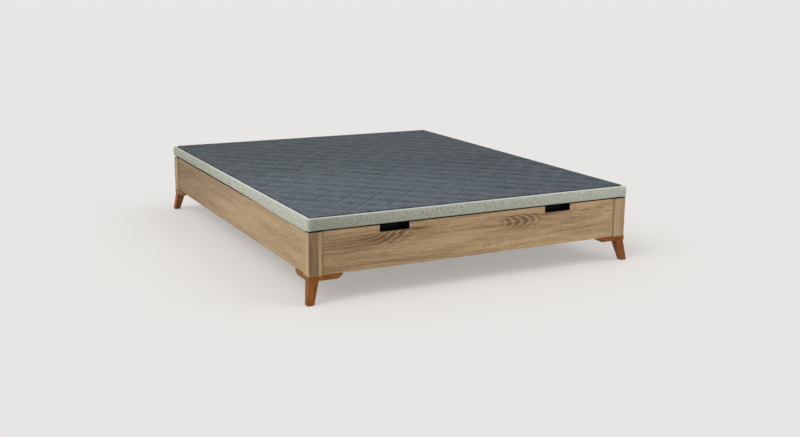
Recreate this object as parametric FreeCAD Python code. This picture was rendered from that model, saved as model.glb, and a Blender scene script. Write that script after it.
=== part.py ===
import FreeCAD, Part
import math
import os
from collections import namedtuple

from FreeCAD import Vector

# Storage bed for a 160 by 200 cm mattress: a board box on four splayed legs, under a quilted lid
# that lifts at the foot. Millimetres, +Z up, +Y to the head, +X to the right of someone at the foot.
# The origin is on the floor under the middle of the bed.

Fixing = namedtuple("Fixing", "head_radius head_height shank_radius length")

# Overall sizes, over the post faces
bed_width = 1600.0
bed_length = 2000.0
leg_length = 98.0
bracket_thick = 20.0
box_height = 182.0
lid_gap = 6.0
lid_depth = 49.0

# Clearances and cuts
overrun = 5.0
hole_clearance = 0.1
running_clearance = 0.05
soft_clearance = 0.3
panel_clearance = 0.5

# Corner posts
post_side = 62.0
post_round = 4.0

# Boards between the posts, with a shadow groove where they meet them
board_thick = 22.0
board_recess = 6.0
groove_width = 3.0
groove_depth = 6.0

# Finger cups in the top edge of the front board
cup_offset = 413.0
cup_width = 138.0
cup_height = 30.0
cup_depth = 40.0
cup_wall = 2.0
cup_clearance = 0.2

# Leg brackets: two arms with bevelled ends
arm_length = 150.0
arm_width = 45.0
bevel_run = 20.0
bevel_nose = 3.0
bevel_round = 12.0

# Legs, tapered and splayed outwards, on glides
leg_top_side = 42.5
leg_foot_side = 30.0
leg_inset = 2.0
leg_splay = 13.5
leg_round = 2.0
glide_radius = 10.0
glide_thick = 2.0
leg_bolt_radius = 4.0
leg_bolt_in_leg = 40.0
leg_bolt_in_post = 40.0

# Storage floor: ledges, spine, centre legs and panels
ledge_width = 20.0
ledge_height = 30.0
ledge_lift = 2.0
spine_width = 40.0
spine_height = 20.0
centre_leg_side = 40.0
centre_leg_offset = 450.0
centre_bolt_in_spine = 14.0
floor_thick = 9.0

# Steel angles that join boards and posts
angle_thick = 3.0
angle_reach = 60.0
angle_height = 100.0
angle_lift = 57.0

# Lid: batten frame, boards, edge band and quilted pads
lid_overhang = 2.0
band_wall = 3.7
band_under = 2.7
band_turn = 22.0
band_rear_turn = 9.0
band_roll_width = 14.0
band_corner_round = 14.0
band_top_round = 8.0
band_bottom_round = 6.0
band_split = 1.0
end_rail_width = 20.0
cross_width = 24.0
rear_lath_gap = 1.0
rear_cross_gap = 1.0
lid_board_thick = 5.0
pad_thick = 13.7
pad_rise = 3.0
pad_round = 9.0
pad_corner_round = 6.0
pad_split = 2.0
quilt_pitch = 157.0
quilt_channel_width = 24.0
quilt_channel_depth = 4.0

# Lid hinge, one pivot line inside the lid near its rear edge
pivot_set_in = 20.0
hinge_thick = 4.0
hinge_ear_radius = 8.0
hinge_neck_drop = 30.0
hinge_neck_rise = 8.0
hinge_plate_front = 34.0
hinge_plate_foot = 22.0
hinge_plate_top_gap = 8.0
hinge_heel = 8.0
hinge_flange_thick = 4.0
hinge_flange_low = 10.0
arm_plate_thick = 4.0
arm_plate_gap = 2.0
arm_plate_edge = 1.0
arm_plate_front = 10.0
pin_radius = 4.0
pin_head_radius = 6.0
pin_head_thick = 3.5
pin_end_gap = 0.5
washer_radius = 7.0
washer_side_gap = 0.2

# Gas struts, with both studs at the same distance from the pivot
stud_floor_gap = 26.0
base_stud_angle = 65.0
strut_side_gap = 2.0
strut_tube_radius = 10.0
strut_wall = 1.5
strut_gland_length = 10.0
strut_eye_radius = 10.0
strut_rod_eye_radius = 9.0
strut_eye_thick = 10.0
strut_neck_radius = 4.5
strut_tube_start = 14.0
strut_rod_show = 16.0
strut_end_wall = 4.0
strut_piston_length = 8.0
strut_piston_gap = 0.3
strut_rod_radius = 4.0
strut_rod_end_gap = 6.0
stud_radius = 4.0
stud_tail_radius = 3.0
stud_collar_radius = 6.0
stud_head_thick = 3.5

# Rubber buffers under the lid
bumper_radius = 8.0
bumper_side_shares = (-0.165, 0.165)
bumper_front_offset = 140.0
bumper_corner_set_in = 17.0

# Levels
bracket_z = leg_length
box_z = bracket_z + bracket_thick
box_top_z = box_z + box_height
ledge_z = box_z + ledge_lift
floor_z = ledge_z + ledge_height
floor_top_z = floor_z + floor_thick
spine_z = floor_z - spine_height
lid_z = box_top_z + lid_gap
lid_top_z = lid_z + lid_depth
rail_z = lid_z + band_under + soft_clearance
pad_top_z = lid_top_z + pad_rise
pad_z = pad_top_z - pad_thick
rail_top_z = pad_z - soft_clearance - lid_board_thick
rail_height = rail_top_z - rail_z

# Faces, measured from the middle of the bed
half_width = bed_width / 2
half_length = bed_length / 2
post_inner_x = half_width - post_side
post_inner_y = half_length - post_side
board_outer_x = half_width - board_recess
board_outer_y = half_length - board_recess
board_inner_x = board_outer_x - board_thick
board_inner_y = board_outer_y - board_thick
board_mid_x = board_outer_x - board_thick / 2
board_mid_y = board_outer_y - board_thick / 2
lid_edge_x = half_width + lid_overhang
lid_edge_y = half_length + lid_overhang
rail_outer_x = lid_edge_x - band_wall - soft_clearance
rail_outer_y = lid_edge_y - band_wall - soft_clearance
arm_inner_x = board_inner_x + arm_plate_gap
rail_inner_x = arm_inner_x + arm_plate_thick
pad_edge_x = lid_edge_x - band_roll_width
pad_edge_y = lid_edge_y - band_roll_width

# Pivot, studs and strut line
pivot_y = lid_edge_y - pivot_set_in
pivot_z = rail_top_z - arm_plate_edge - hinge_ear_radius
arm_low_z = rail_z + arm_plate_edge
arm_high_z = pivot_z + hinge_ear_radius
hinge_inner_x = board_inner_x - hinge_thick
strut_x = hinge_inner_x - strut_side_gap - strut_tube_radius
base_stud_turn = math.radians(base_stud_angle)
base_stud_z = floor_top_z + stud_floor_gap
strut_arm = (pivot_z - base_stud_z) / math.sin(base_stud_turn)
base_stud_y = pivot_y - strut_arm * math.cos(base_stud_turn)
lid_stud_z = (arm_low_z + arm_high_z) / 2
lid_stud_y = pivot_y - math.sqrt(strut_arm ** 2 - (pivot_z - lid_stud_z) ** 2)
strut_closed_length = math.dist((base_stud_y, base_stud_z), (lid_stud_y, lid_stud_z))
strut_tube_length = strut_closed_length - strut_tube_start - strut_rod_show
arm_front_y = lid_stud_y - arm_plate_front
rear_cross_y = arm_front_y - rear_cross_gap
rear_lath_y = pivot_y + hinge_ear_radius + rear_lath_gap

# Fixings, as long as what they hold and their bite in the wood
bracket_screw_bite = 25.0
ledge_screw_bite = 16.0
arm_bolt_tip_gap = 1.0
join_nut_radius = 7.0
join_nut_height = 6.5
join_bolt_end = 3.5
bracket_screw = Fixing(
    head_radius=4.5, head_height=3.0, shank_radius=2.0,
    length=bracket_thick + bracket_screw_bite,
)
board_screw = Fixing(head_radius=4.0, head_height=2.5, shank_radius=2.0, length=18.0)
post_screw = Fixing(head_radius=4.0, head_height=2.5, shank_radius=2.0, length=33.0)
ledge_screw = Fixing(
    head_radius=4.0, head_height=2.5, shank_radius=2.0,
    length=ledge_width + ledge_screw_bite,
)
arm_bolt = Fixing(
    head_radius=5.5, head_height=3.5, shank_radius=3.0,
    length=rail_outer_x - arm_inner_x - arm_bolt_tip_gap,
)
join_bolt = Fixing(
    head_radius=7.0, head_height=5.0, shank_radius=4.0,
    length=2 * cross_width + join_nut_height + join_bolt_end,
)
bracket_screw_places = (85.0, 118.0)
angle_screw_shares = (0.25, 0.75)
side_angle_screw_shares = (0.40, 0.90)
angle_screw_reach_share = 2 / 3
side_ledge_screw_shares = (-0.42, -0.21, 0.0, 0.21, 0.42)
end_ledge_screw_shares = (-0.42, -0.14, 0.14, 0.42)
join_bolt_shares = (-0.36, -0.12, 0.12, 0.36)
arm_bolt_shares = (0.16, 0.34)
hinge_screw_shares = ((0.16, 0.36), (0.16, 0.90), (0.72, 0.52), (0.72, 0.90))
flange_screw_shares = (0.40, 0.80)

sides = (("left", -1), ("right", 1))
ends = (("front", -1), ("rear", 1))
corners = tuple((end + "_" + side, sx, sy) for end, sy in ends for side, sx in sides)
across = Vector(1, 0, 0)
along = Vector(0, 1, 0)
upright = Vector(0, 0, 1)


# Shape helpers

def block(xs, ys, zs):
    """A box between two places on each axis, given in either order."""
    low = Vector(min(xs), min(ys), min(zs))
    return Part.makeBox(abs(xs[1] - xs[0]), abs(ys[1] - ys[0]), abs(zs[1] - zs[0]), low)


def round_bar(radius, start, end):
    """A round bar from one point to another."""
    return Part.makeCylinder(radius, (end - start).Length, start, end - start)


def bar_across(radius, xs, y, z):
    """A round bar along X."""
    return round_bar(radius, Vector(xs[0], y, z), Vector(xs[1], y, z))


def joined(shapes):
    """One solid from shapes that meet or overlap."""
    return shapes[0].multiFuse(shapes[1:]).removeSplitter()


def without(shape, cutters):
    """A shape with all the cutters taken out of it."""
    return shape.cut(cutters) if cutters else shape


def edges_along(shape, direction):
    """The straight edges of a shape that run along a direction."""
    found = []
    for edge in shape.Edges:
        run = edge.Vertexes[-1].Point - edge.Vertexes[0].Point
        if run.Length > 0 and abs(run.dot(direction)) >= run.Length * math.cos(math.radians(1)):
            found.append(edge)
    return found


def edges_level(shape, z):
    """The edges of a shape that lie at one height."""
    slack = running_clearance
    return [e for e in shape.Edges if abs(e.BoundBox.ZMin - z) < slack and abs(e.BoundBox.ZMax - z) < slack]


def plate(outline, xs):
    """A flat plate across X, from a closed outline of (y, z) points."""
    points = [Vector(xs[0], y, z) for y, z in outline]
    face = Part.Face(Part.makePolygon(points + points[:1]))
    return face.extrude(Vector(xs[1] - xs[0], 0, 0))


def rounded_square(centre_x, centre_y, side, z):
    """A closed square with rounded corners at one height."""
    half = side / 2
    flat = half - leg_round
    diagonal = flat + leg_round * math.sqrt(0.5)
    edges = []
    for quarter in range(4):
        turn = FreeCAD.Rotation(upright, 90 * quarter)
        plan = [(half, -flat), (half, flat), (diagonal, diagonal), (flat, half)]
        centre = Vector(centre_x, centre_y, z)
        start, end, mid, after = [turn.multVec(Vector(x, y, 0)) + centre for x, y in plan]
        edges.append(Part.LineSegment(start, end).toShape())
        edges.append(Part.Arc(end, mid, after).toShape())
    return Part.Wire(edges)


# Fixings: a seat point, the way the shank points and a kind

def fixing_solid(seat, way, kind):
    """A screw or bolt with its head on the seat."""
    head = round_bar(kind.head_radius, seat - way * kind.head_height, seat)
    shank = round_bar(kind.shank_radius, seat, seat + way * kind.length)
    return joined([head, shank])


def sunk_solid(seat, way, kind):
    """A screw whose head lies flush below the seat."""
    return fixing_solid(seat + way * kind.head_height, way, kind)


def fixing_hole(seat, way, kind):
    """The hole for a shank, from above its seat to past its tip."""
    radius = kind.shank_radius + hole_clearance
    return round_bar(radius, seat - way * overrun, seat + way * (kind.length + kind.head_height))


def sunk_hole(seat, way, kind):
    """The hole and the head recess for a flush screw."""
    recess = round_bar(kind.head_radius + hole_clearance, seat - way * overrun, seat + way * kind.head_height)
    return joined([fixing_hole(seat, way, kind), recess])


def bracket_screws_at(sx, sy):
    """Seats of one bracket's screws, on the middle lines of the boards above it."""
    seats = []
    for place in bracket_screw_places:
        seats.append(Vector(sx * (half_width - place), sy * board_mid_y, bracket_z))
        seats.append(Vector(sx * board_mid_x, sy * (half_length - place), bracket_z))
    return seats


def ledge_screw_rows():
    """Seat and direction of every ledge screw."""
    z = ledge_z + ledge_height / 2
    rows = []
    for name, sign in sides:
        x = sign * (board_inner_x - ledge_width)
        rows += [(Vector(x, s * 2 * post_inner_y, z), across * sign) for s in side_ledge_screw_shares]
    for name, sign in ends:
        y = sign * (board_inner_y - ledge_width)
        rows += [(Vector(s * 2 * post_inner_x, y, z), along * sign) for s in end_ledge_screw_shares]
    return rows


def angle_heights(shares):
    """Heights of the screws in a corner angle."""
    low = box_z + angle_lift
    return [low + angle_height * share for share in shares]


def angle_screw_rows():
    """Seat, direction and kind of every corner angle screw."""
    rows = []
    reach = angle_reach * angle_screw_reach_share
    on_post_x = (post_inner_x + board_inner_x) / 2
    on_post_y = (post_inner_y + board_inner_y) / 2
    for name, sx, sy in corners:
        for z in angle_heights(angle_screw_shares):
            on_board = Vector(sx * (post_inner_x - reach), sy * (board_inner_y - angle_thick), z)
            on_post = Vector(sx * (post_inner_x - angle_thick), sy * on_post_y, z)
            rows += [(on_board, along * sy, board_screw), (on_post, across * sx, post_screw)]
    for name, sx in sides:
        for z in angle_heights(side_angle_screw_shares):
            on_board = Vector(sx * (board_inner_x - angle_thick), reach - post_inner_y, z)
            on_post = Vector(sx * on_post_x, angle_thick - post_inner_y, z)
            rows += [(on_board, across * sx, board_screw), (on_post, -along, post_screw)]
    return rows


def hinge_span():
    """The front and rear edge, foot and head of the hinge plate's body."""
    y_front = base_stud_y - hinge_plate_front
    return y_front, post_inner_y, base_stud_z - hinge_plate_foot, box_top_z - hinge_plate_top_gap


def hinge_screw_rows(sx):
    """Seat and direction of the flush screws of one hinge plate."""
    y_front, y_rear, z_low, z_high = hinge_span()
    rows = []
    for y_share, z_share in hinge_screw_shares:
        y = y_front + (y_rear - y_front) * y_share
        z = z_low + (z_high - z_low) * z_share
        rows.append((Vector(sx * hinge_inner_x, y, z), across * sx))
    return rows


def flange_screw_rows(sx):
    """Seat and direction of the screws through one hinge flange into the post."""
    y_front, y_rear, z_low, z_high = hinge_span()
    x = sx * (post_inner_x + board_inner_x) / 2
    y = post_inner_y - hinge_flange_thick
    return [(Vector(x, y, z_low + (z_high - z_low) * share), along) for share in flange_screw_shares]


def arm_bolt_rows(sx):
    """Seat and direction of the bolts that hold one lid arm to its rail."""
    x = sx * arm_inner_x
    z = rail_z + rail_height / 2
    reach = pivot_y - arm_front_y
    return [(Vector(x, arm_front_y + reach * share, z), across * sx) for share in arm_bolt_shares]


def join_bolt_rows():
    """Seats of the bolts through the two rails at the split."""
    z = rail_z + rail_height / 2
    return [Vector(2 * rail_inner_x * share, -cross_width, z) for share in join_bolt_shares]


# Box

def post(sx, sy):
    """A corner post with rounded upright edges and its screw and bolt holes."""
    xs = (sx * half_width, sx * post_inner_x)
    shape = block(xs, (sy * half_length, sy * post_inner_y), (box_z, box_top_z))
    shape = shape.makeFillet(post_round, edges_along(shape, upright))
    holes = [fixing_hole(seat, way, kind) for seat, way, kind in angle_screw_rows() if kind is post_screw]
    if sy > 0:
        holes += [fixing_hole(seat, way, post_screw) for seat, way in flange_screw_rows(sx)]
    holes.append(leg_bolt(sx, sy, hole_clearance))
    return without(shape, holes)


def board_holes():
    """Every screw hole that may enter a board."""
    holes = [fixing_hole(seat, way, kind) for seat, way, kind in angle_screw_rows() if kind is board_screw]
    holes += [fixing_hole(seat, way, ledge_screw) for seat, way in ledge_screw_rows()]
    for name, sx, sy in corners:
        holes += [fixing_hole(seat, upright, bracket_screw) for seat in bracket_screws_at(sx, sy)]
    for name, sx in sides:
        holes += [fixing_hole(seat, way, board_screw) for seat, way in hinge_screw_rows(sx)]
    return holes


def side_board(sx):
    """A long board with a shadow groove at each post."""
    zs = (box_z, box_top_z)
    shape = block((sx * board_outer_x, sx * board_inner_x), (-post_inner_y, post_inner_y), zs)
    groove_xs = (sx * (board_outer_x + overrun), sx * (board_outer_x - groove_depth))
    cut_zs = (box_z - overrun, box_top_z + overrun)
    grooves = [
        block(groove_xs, (sy * (post_inner_y + overrun), sy * (post_inner_y - groove_width)), cut_zs)
        for name, sy in ends
    ]
    return without(shape, grooves + board_holes())


def end_board(sy):
    """A short board with a shadow groove at each post."""
    zs = (box_z, box_top_z)
    shape = block((-post_inner_x, post_inner_x), (sy * board_outer_y, sy * board_inner_y), zs)
    groove_ys = (sy * (board_outer_y + overrun), sy * (board_outer_y - groove_depth))
    cut_zs = (box_z - overrun, box_top_z + overrun)
    grooves = [
        block((sx * (post_inner_x + overrun), sx * (post_inner_x - groove_width)), groove_ys, cut_zs)
        for name, sx in sides
    ]
    return without(shape, grooves + board_holes())


def front_board():
    """The foot board with its two finger notches."""
    half = cup_width / 2 + cup_clearance
    ys = (-board_outer_y - overrun, -board_inner_y + overrun)
    zs = (box_top_z - cup_height, box_top_z + overrun)
    notches = [block((sx * cup_offset - half, sx * cup_offset + half), ys, zs) for name, sx in sides]
    return without(end_board(-1), notches)


def finger_cup(sx):
    """A plastic cup, open at the front and the top."""
    centre = sx * cup_offset
    half = cup_width / 2
    back_y = cup_depth - board_outer_y
    low_z = box_top_z - cup_height
    outer = block((centre - half, centre + half), (-board_outer_y, back_y), (low_z, box_top_z))
    half_inside = half - cup_wall
    inside_ys = (-board_outer_y - overrun, back_y - cup_wall)
    inside_zs = (low_z + cup_wall, box_top_z + overrun)
    return outer.cut(block((centre - half_inside, centre + half_inside), inside_ys, inside_zs))


# Legs

def bracket_arm(sx, sy, lengthwise):
    """One arm of a bracket, bevelled and rounded under its free end."""
    drop = [
        (0, box_z),
        (arm_length, box_z),
        (arm_length, box_z - bevel_nose),
        (arm_length - bevel_run, bracket_z),
        (0, bracket_z),
    ]
    if lengthwise:
        points = [Vector(sx * half_width, sy * (half_length - s), z) for s, z in drop]
        sweep = Vector(-sx * arm_width, 0, 0)
    else:
        points = [Vector(sx * (half_width - s), sy * half_length, z) for s, z in drop]
        sweep = Vector(0, -sy * arm_width, 0)
    shape = Part.Face(Part.makePolygon(points + points[:1])).extrude(sweep)
    bend_middle = points[3] + sweep / 2
    bend = [e for e in shape.Edges if e.CenterOfMass.distanceToPoint(bend_middle) < running_clearance]
    return shape.makeFillet(bevel_round, bend)


def leg_bracket(sx, sy):
    """The L-shaped plate between a leg and its post."""
    shape = joined([bracket_arm(sx, sy, True), bracket_arm(sx, sy, False)])
    holes = [fixing_hole(seat, upright, bracket_screw) for seat in bracket_screws_at(sx, sy)]
    return without(shape, holes + [leg_bolt(sx, sy, hole_clearance)])


def leg_centre(edge, side, splay):
    """Distance from the middle of the bed to the middle of a leg's section."""
    return edge - leg_inset + splay - side / 2


def leg_bolt(sx, sy, clearance=0.0):
    """The hanger bolt from a leg through its bracket into the post, or its hole."""
    x = sx * leg_centre(half_width, leg_top_side, 0)
    y = sy * leg_centre(half_length, leg_top_side, 0)
    low = Vector(x, y, bracket_z - leg_bolt_in_leg - clearance)
    return round_bar(leg_bolt_radius + clearance, low, Vector(x, y, box_z + leg_bolt_in_post + clearance))


def leg(sx, sy):
    """A tapered leg that splays outwards both ways."""
    wires = []
    for side, splay, z in ((leg_top_side, 0, bracket_z), (leg_foot_side, leg_splay, glide_thick)):
        x = sx * leg_centre(half_width, side, splay)
        y = sy * leg_centre(half_length, side, splay)
        wires.append(rounded_square(x, y, side, z))
    return Part.makeLoft(wires, True, True).cut(leg_bolt(sx, sy, hole_clearance))


def centre_leg(sy):
    """A square leg under the spine."""
    half = centre_leg_side / 2
    y = sy * centre_leg_offset
    shape = block((-half, half), (y - half, y + half), (glide_thick, spine_z))
    return shape.cut(centre_bolt(sy, hole_clearance))


def centre_bolt(sy, clearance=0.0):
    """The hanger bolt of a centre leg, or its hole."""
    y = sy * centre_leg_offset
    low = Vector(0, y, spine_z - leg_bolt_in_leg - clearance)
    high = Vector(0, y, spine_z + centre_bolt_in_spine + clearance)
    return round_bar(leg_bolt_radius + clearance, low, high)


def glides():
    """The floor glides of the six legs."""
    foot_x = leg_centre(half_width, leg_foot_side, leg_splay)
    foot_y = leg_centre(half_length, leg_foot_side, leg_splay)
    places = [(sx * foot_x, sy * foot_y) for name, sx, sy in corners]
    places += [(0, sy * centre_leg_offset) for name, sy in ends]
    return [round_bar(glide_radius, Vector(x, y, 0), Vector(x, y, glide_thick)) for x, y in places]


# Storage floor

def side_ledge(sx):
    """A batten along a side board."""
    xs = (sx * board_inner_x, sx * (board_inner_x - ledge_width))
    shape = block(xs, (-post_inner_y, post_inner_y), (ledge_z, floor_z))
    return without(shape, [fixing_hole(seat, way, ledge_screw) for seat, way in ledge_screw_rows()])


def end_ledge(sy):
    """A batten along an end board, notched for the spine."""
    ys = (sy * board_inner_y, sy * (board_inner_y - ledge_width))
    shape = block((-post_inner_x, post_inner_x), ys, (ledge_z, floor_z))
    half = spine_width / 2 + panel_clearance
    notch = block((-half, half), (ys[0] + sy * overrun, ys[1] - sy * overrun), (spine_z, floor_z + overrun))
    return without(shape, [notch] + [fixing_hole(seat, way, ledge_screw) for seat, way in ledge_screw_rows()])


def floor_spine():
    """The beam under the joint of the floor panels."""
    half = spine_width / 2
    shape = block((-half, half), (-board_inner_y, board_inner_y), (spine_z, floor_z))
    return without(shape, [centre_bolt(sy, hole_clearance) for name, sy in ends])


def floor_panel(sx):
    """Half of the storage floor, notched around the posts."""
    zs = (floor_z, floor_z + floor_thick)
    outer_x = board_inner_x - panel_clearance
    outer_y = board_inner_y - panel_clearance
    shape = block((sx * panel_clearance / 2, sx * outer_x), (-outer_y, outer_y), zs)
    notch_x = sx * (post_inner_x - panel_clearance)
    cut_zs = (floor_z - overrun, floor_z + floor_thick + overrun)
    notches = [
        block((notch_x, sx * half_width), (sy * (post_inner_y - panel_clearance), sy * half_length), cut_zs)
        for name, sy in ends
    ]
    return without(shape, notches)


# Corner angles

def corner_angle(sx, sy, on_side_board):
    """A steel angle from a board's inner face to the post beside it."""
    zs = (box_z + angle_lift, box_z + angle_lift + angle_height)
    if on_side_board:
        xs = (sx * board_inner_x, sx * (board_inner_x - angle_thick))
        board_leg = block(xs, (sy * post_inner_y, sy * (post_inner_y - angle_reach)), zs)
        ys = (sy * post_inner_y, sy * (post_inner_y - angle_thick))
        post_leg = block((sx * board_inner_x, sx * post_inner_x), ys, zs)
    else:
        ys = (sy * board_inner_y, sy * (board_inner_y - angle_thick))
        board_leg = block((sx * post_inner_x, sx * (post_inner_x - angle_reach)), ys, zs)
        xs = (sx * post_inner_x, sx * (post_inner_x - angle_thick))
        post_leg = block(xs, (sy * board_inner_y, sy * post_inner_y), zs)
    holes = [fixing_hole(seat, way, kind) for seat, way, kind in angle_screw_rows()]
    return without(joined([board_leg, post_leg]), holes)


def corner_angles():
    """Two angles at each front corner, one at each rear corner beside the hinge plate."""
    angles = [corner_angle(sx, sy, False) for name, sx, sy in corners]
    return angles + [corner_angle(sx, -1, True) for name, sx in sides]


# Hinge

def hinge_plate(sx):
    """A gooseneck plate on the side board, with a flange on the post and an ear at the pivot."""
    y_front, y_rear, z_low, z_high = hinge_span()
    neck_rear = y_rear - hinge_heel
    neck_front = neck_rear - hinge_neck_drop
    ear_low = pivot_z - hinge_ear_radius
    ear_high = pivot_z + hinge_neck_rise
    slope = hinge_ear_radius + hinge_neck_rise
    outline = [
        (y_front, z_low),
        (y_rear, z_low),
        (y_rear, z_high),
        (neck_rear, z_high),
        (neck_rear, ear_low),
        (pivot_y, ear_low),
        (pivot_y, ear_high),
        (neck_front + slope, ear_high),
        (neck_front, ear_low),
        (neck_front, z_high),
        (y_front, z_high),
    ]
    xs = (sx * board_inner_x, sx * hinge_inner_x)
    body = plate(outline, xs)
    ear = bar_across(hinge_ear_radius, xs, pivot_y, pivot_z)
    flange_ys = (y_rear, y_rear - hinge_flange_thick)
    flange = block((sx * board_inner_x, sx * post_inner_x), flange_ys, (z_low + hinge_flange_low, z_high))
    cut_xs = (sx * (board_inner_x + overrun), sx * (hinge_inner_x - overrun))
    holes = [bar_across(pin_radius + running_clearance, cut_xs, pivot_y, pivot_z)]
    holes.append(bar_across(stud_tail_radius + running_clearance, cut_xs, base_stud_y, base_stud_z))
    holes += [sunk_hole(seat, way, board_screw) for seat, way in hinge_screw_rows(sx)]
    holes += [fixing_hole(seat, way, post_screw) for seat, way in flange_screw_rows(sx)]
    return without(joined([body, ear, flange]), holes)


def arm_plate_xs(sx):
    """The two faces of a lid arm, against its rail and towards the hinge plate."""
    return (sx * rail_inner_x, sx * arm_inner_x)


def lid_arm(sx):
    """The hinge arm on the inner face of a lid rail."""
    xs = arm_plate_xs(sx)
    body = block(xs, (arm_front_y, pivot_y), (arm_low_z, arm_high_z))
    heel = block(
        (sx * (rail_inner_x + overrun), sx * (arm_inner_x - overrun)),
        (pivot_y - hinge_ear_radius, pivot_y + overrun),
        (arm_low_z - overrun, pivot_z - hinge_ear_radius),
    )
    ear = bar_across(hinge_ear_radius, xs, pivot_y, pivot_z)
    cut_xs = (xs[0] + sx * overrun, xs[1] - sx * overrun)
    holes = [bar_across(pin_radius + running_clearance, cut_xs, pivot_y, pivot_z)]
    holes.append(bar_across(stud_tail_radius + running_clearance, cut_xs, lid_stud_y, lid_stud_z))
    holes += [fixing_hole(seat, way, arm_bolt) for seat, way in arm_bolt_rows(sx)]
    return without(joined([body.cut(heel), ear]), holes)


def hinge_pin(sx):
    """The pivot pin, headed on the inner face of the hinge plate."""
    head_x = sx * (hinge_inner_x - pin_head_thick)
    head = bar_across(pin_head_radius, (head_x, sx * hinge_inner_x), pivot_y, pivot_z)
    shank_end = sx * (rail_inner_x - pin_end_gap)
    shank = bar_across(pin_radius, (sx * hinge_inner_x, shank_end), pivot_y, pivot_z)
    return joined([head, shank])


def hinge_washer(sx):
    """A washer between the hinge plate and the lid arm."""
    xs = (sx * (board_inner_x + washer_side_gap), sx * (arm_inner_x - washer_side_gap))
    ring = bar_across(washer_radius, xs, pivot_y, pivot_z)
    cut_xs = (xs[0] - sx * overrun, xs[1] + sx * overrun)
    return ring.cut(bar_across(pin_radius + running_clearance, cut_xs, pivot_y, pivot_z))


# Gas struts

def stud(sx, y, z, plate_inner_x, plate_thick):
    """A headed stud that carries a strut eye, with its tail in a plate."""
    half_eye = strut_eye_thick / 2 + soft_clearance
    collar_end = strut_x + half_eye
    head_start = strut_x - half_eye
    tail = bar_across(stud_tail_radius, (sx * plate_inner_x, sx * (plate_inner_x + plate_thick)), y, z)
    collar = bar_across(stud_collar_radius, (sx * collar_end, sx * plate_inner_x), y, z)
    journal = bar_across(stud_radius, (sx * head_start, sx * collar_end), y, z)
    head = bar_across(stud_collar_radius, (sx * (head_start - stud_head_thick), sx * head_start), y, z)
    return joined([tail, collar, journal, head])


def strut_point(sx, distance):
    """A point on a strut's line, a distance from its lower stud towards its upper stud."""
    low = Vector(sx * strut_x, base_stud_y, base_stud_z)
    high = Vector(sx * strut_x, lid_stud_y, lid_stud_z)
    way = high - low
    return low + way * (distance / way.Length)


def strut_eye(sx, distance, radius):
    """A flat eye on a strut's line."""
    half = strut_eye_thick / 2
    centre = strut_point(sx, distance)
    return bar_across(radius, (sx * strut_x - half, sx * strut_x + half), centre.y, centre.z)


def strut_eye_hole(sx, distance):
    """The running hole in a strut eye."""
    half = strut_eye_thick / 2 + overrun
    centre = strut_point(sx, distance)
    xs = (sx * strut_x - half, sx * strut_x + half)
    return bar_across(stud_radius + running_clearance, xs, centre.y, centre.z)


def strut_cylinder(sx):
    """The pressure tube, with its lower eye, its bore and its gland."""
    end = strut_tube_start + strut_tube_length
    eye = strut_eye(sx, 0, strut_eye_radius)
    neck_start = strut_point(sx, stud_collar_radius + soft_clearance)
    neck = round_bar(strut_neck_radius, neck_start, strut_point(sx, strut_tube_start + strut_end_wall))
    tube = round_bar(strut_tube_radius, strut_point(sx, strut_tube_start), strut_point(sx, end))
    bore_start = strut_point(sx, strut_tube_start + strut_end_wall)
    bore = round_bar(strut_tube_radius - strut_wall, bore_start, strut_point(sx, end - strut_gland_length))
    gland = round_bar(strut_rod_radius + running_clearance, bore_start, strut_point(sx, end + overrun))
    return without(joined([eye, neck, tube]), [strut_eye_hole(sx, 0), bore, gland])


def strut_rod(sx):
    """The rod, with its upper eye and the piston on its inner end."""
    start = strut_tube_start + strut_end_wall + strut_rod_end_gap
    eye = strut_eye(sx, strut_closed_length, strut_rod_eye_radius)
    rod = round_bar(strut_rod_radius, strut_point(sx, start), strut_point(sx, strut_closed_length))
    piston_radius = strut_tube_radius - strut_wall - strut_piston_gap
    piston = round_bar(piston_radius, strut_point(sx, start), strut_point(sx, start + strut_piston_length))
    return without(joined([eye, rod, piston]), [strut_eye_hole(sx, strut_closed_length)])


# Lid

def lid_half(sy):
    """A block that covers the foot half or the head half of the lid, short of the split."""
    reach_x = lid_edge_x + overrun
    reach_y = lid_edge_y + overrun
    return block((-reach_x, reach_x), (sy * band_split / 2, sy * reach_y), (0, pad_top_z + overrun))


def band_ring():
    """The sewn border of the whole lid: side wall, edge roll above and turn-in below."""
    outer = block((-lid_edge_x, lid_edge_x), (-lid_edge_y, lid_edge_y), (lid_z, lid_top_z))
    outer = outer.makeFillet(band_corner_round, edges_along(outer, upright))
    outer = outer.makeFillet(band_top_round, edges_level(outer, lid_top_z))
    outer = outer.makeFillet(band_bottom_round, edges_level(outer, lid_z))
    wall_x = lid_edge_x - band_wall
    wall_y = lid_edge_y - band_wall
    hollow = block((-wall_x, wall_x), (-wall_y, wall_y), (lid_z + band_under, pad_z))
    above_zs = (pad_z - overrun, lid_top_z + overrun)
    above = block((-pad_edge_x, pad_edge_x), (-pad_edge_y, pad_edge_y), above_zs)
    below_x = lid_edge_x - band_turn
    below_ys = (band_turn - lid_edge_y, lid_edge_y - band_rear_turn)
    below = block((-below_x, below_x), below_ys, (lid_z - overrun, lid_z + band_under + overrun))
    return without(outer, [hollow, above, below])


def end_wedge(sy):
    """The part of the plan that belongs to an end strip of the border, up to the corner mitres."""
    reach = lid_edge_x + overrun
    tip = lid_edge_y - lid_edge_x
    corner_y = lid_edge_y + overrun
    plan = [(0, tip), (reach, corner_y), (-reach, corner_y)]
    points = [Vector(x, sy * y, 0) for x, y in plan]
    return Part.Face(Part.makePolygon(points + points[:1])).extrude(Vector(0, 0, pad_top_z + overrun))


def lid_band(ring, sy):
    """Three border strips of one lid half, sewn together at the mitred corners."""
    half = ring.common(lid_half(sy))
    end_strip = half.common(end_wedge(sy))
    return end_strip.Solids + half.cut(end_wedge(sy)).Solids


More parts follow.
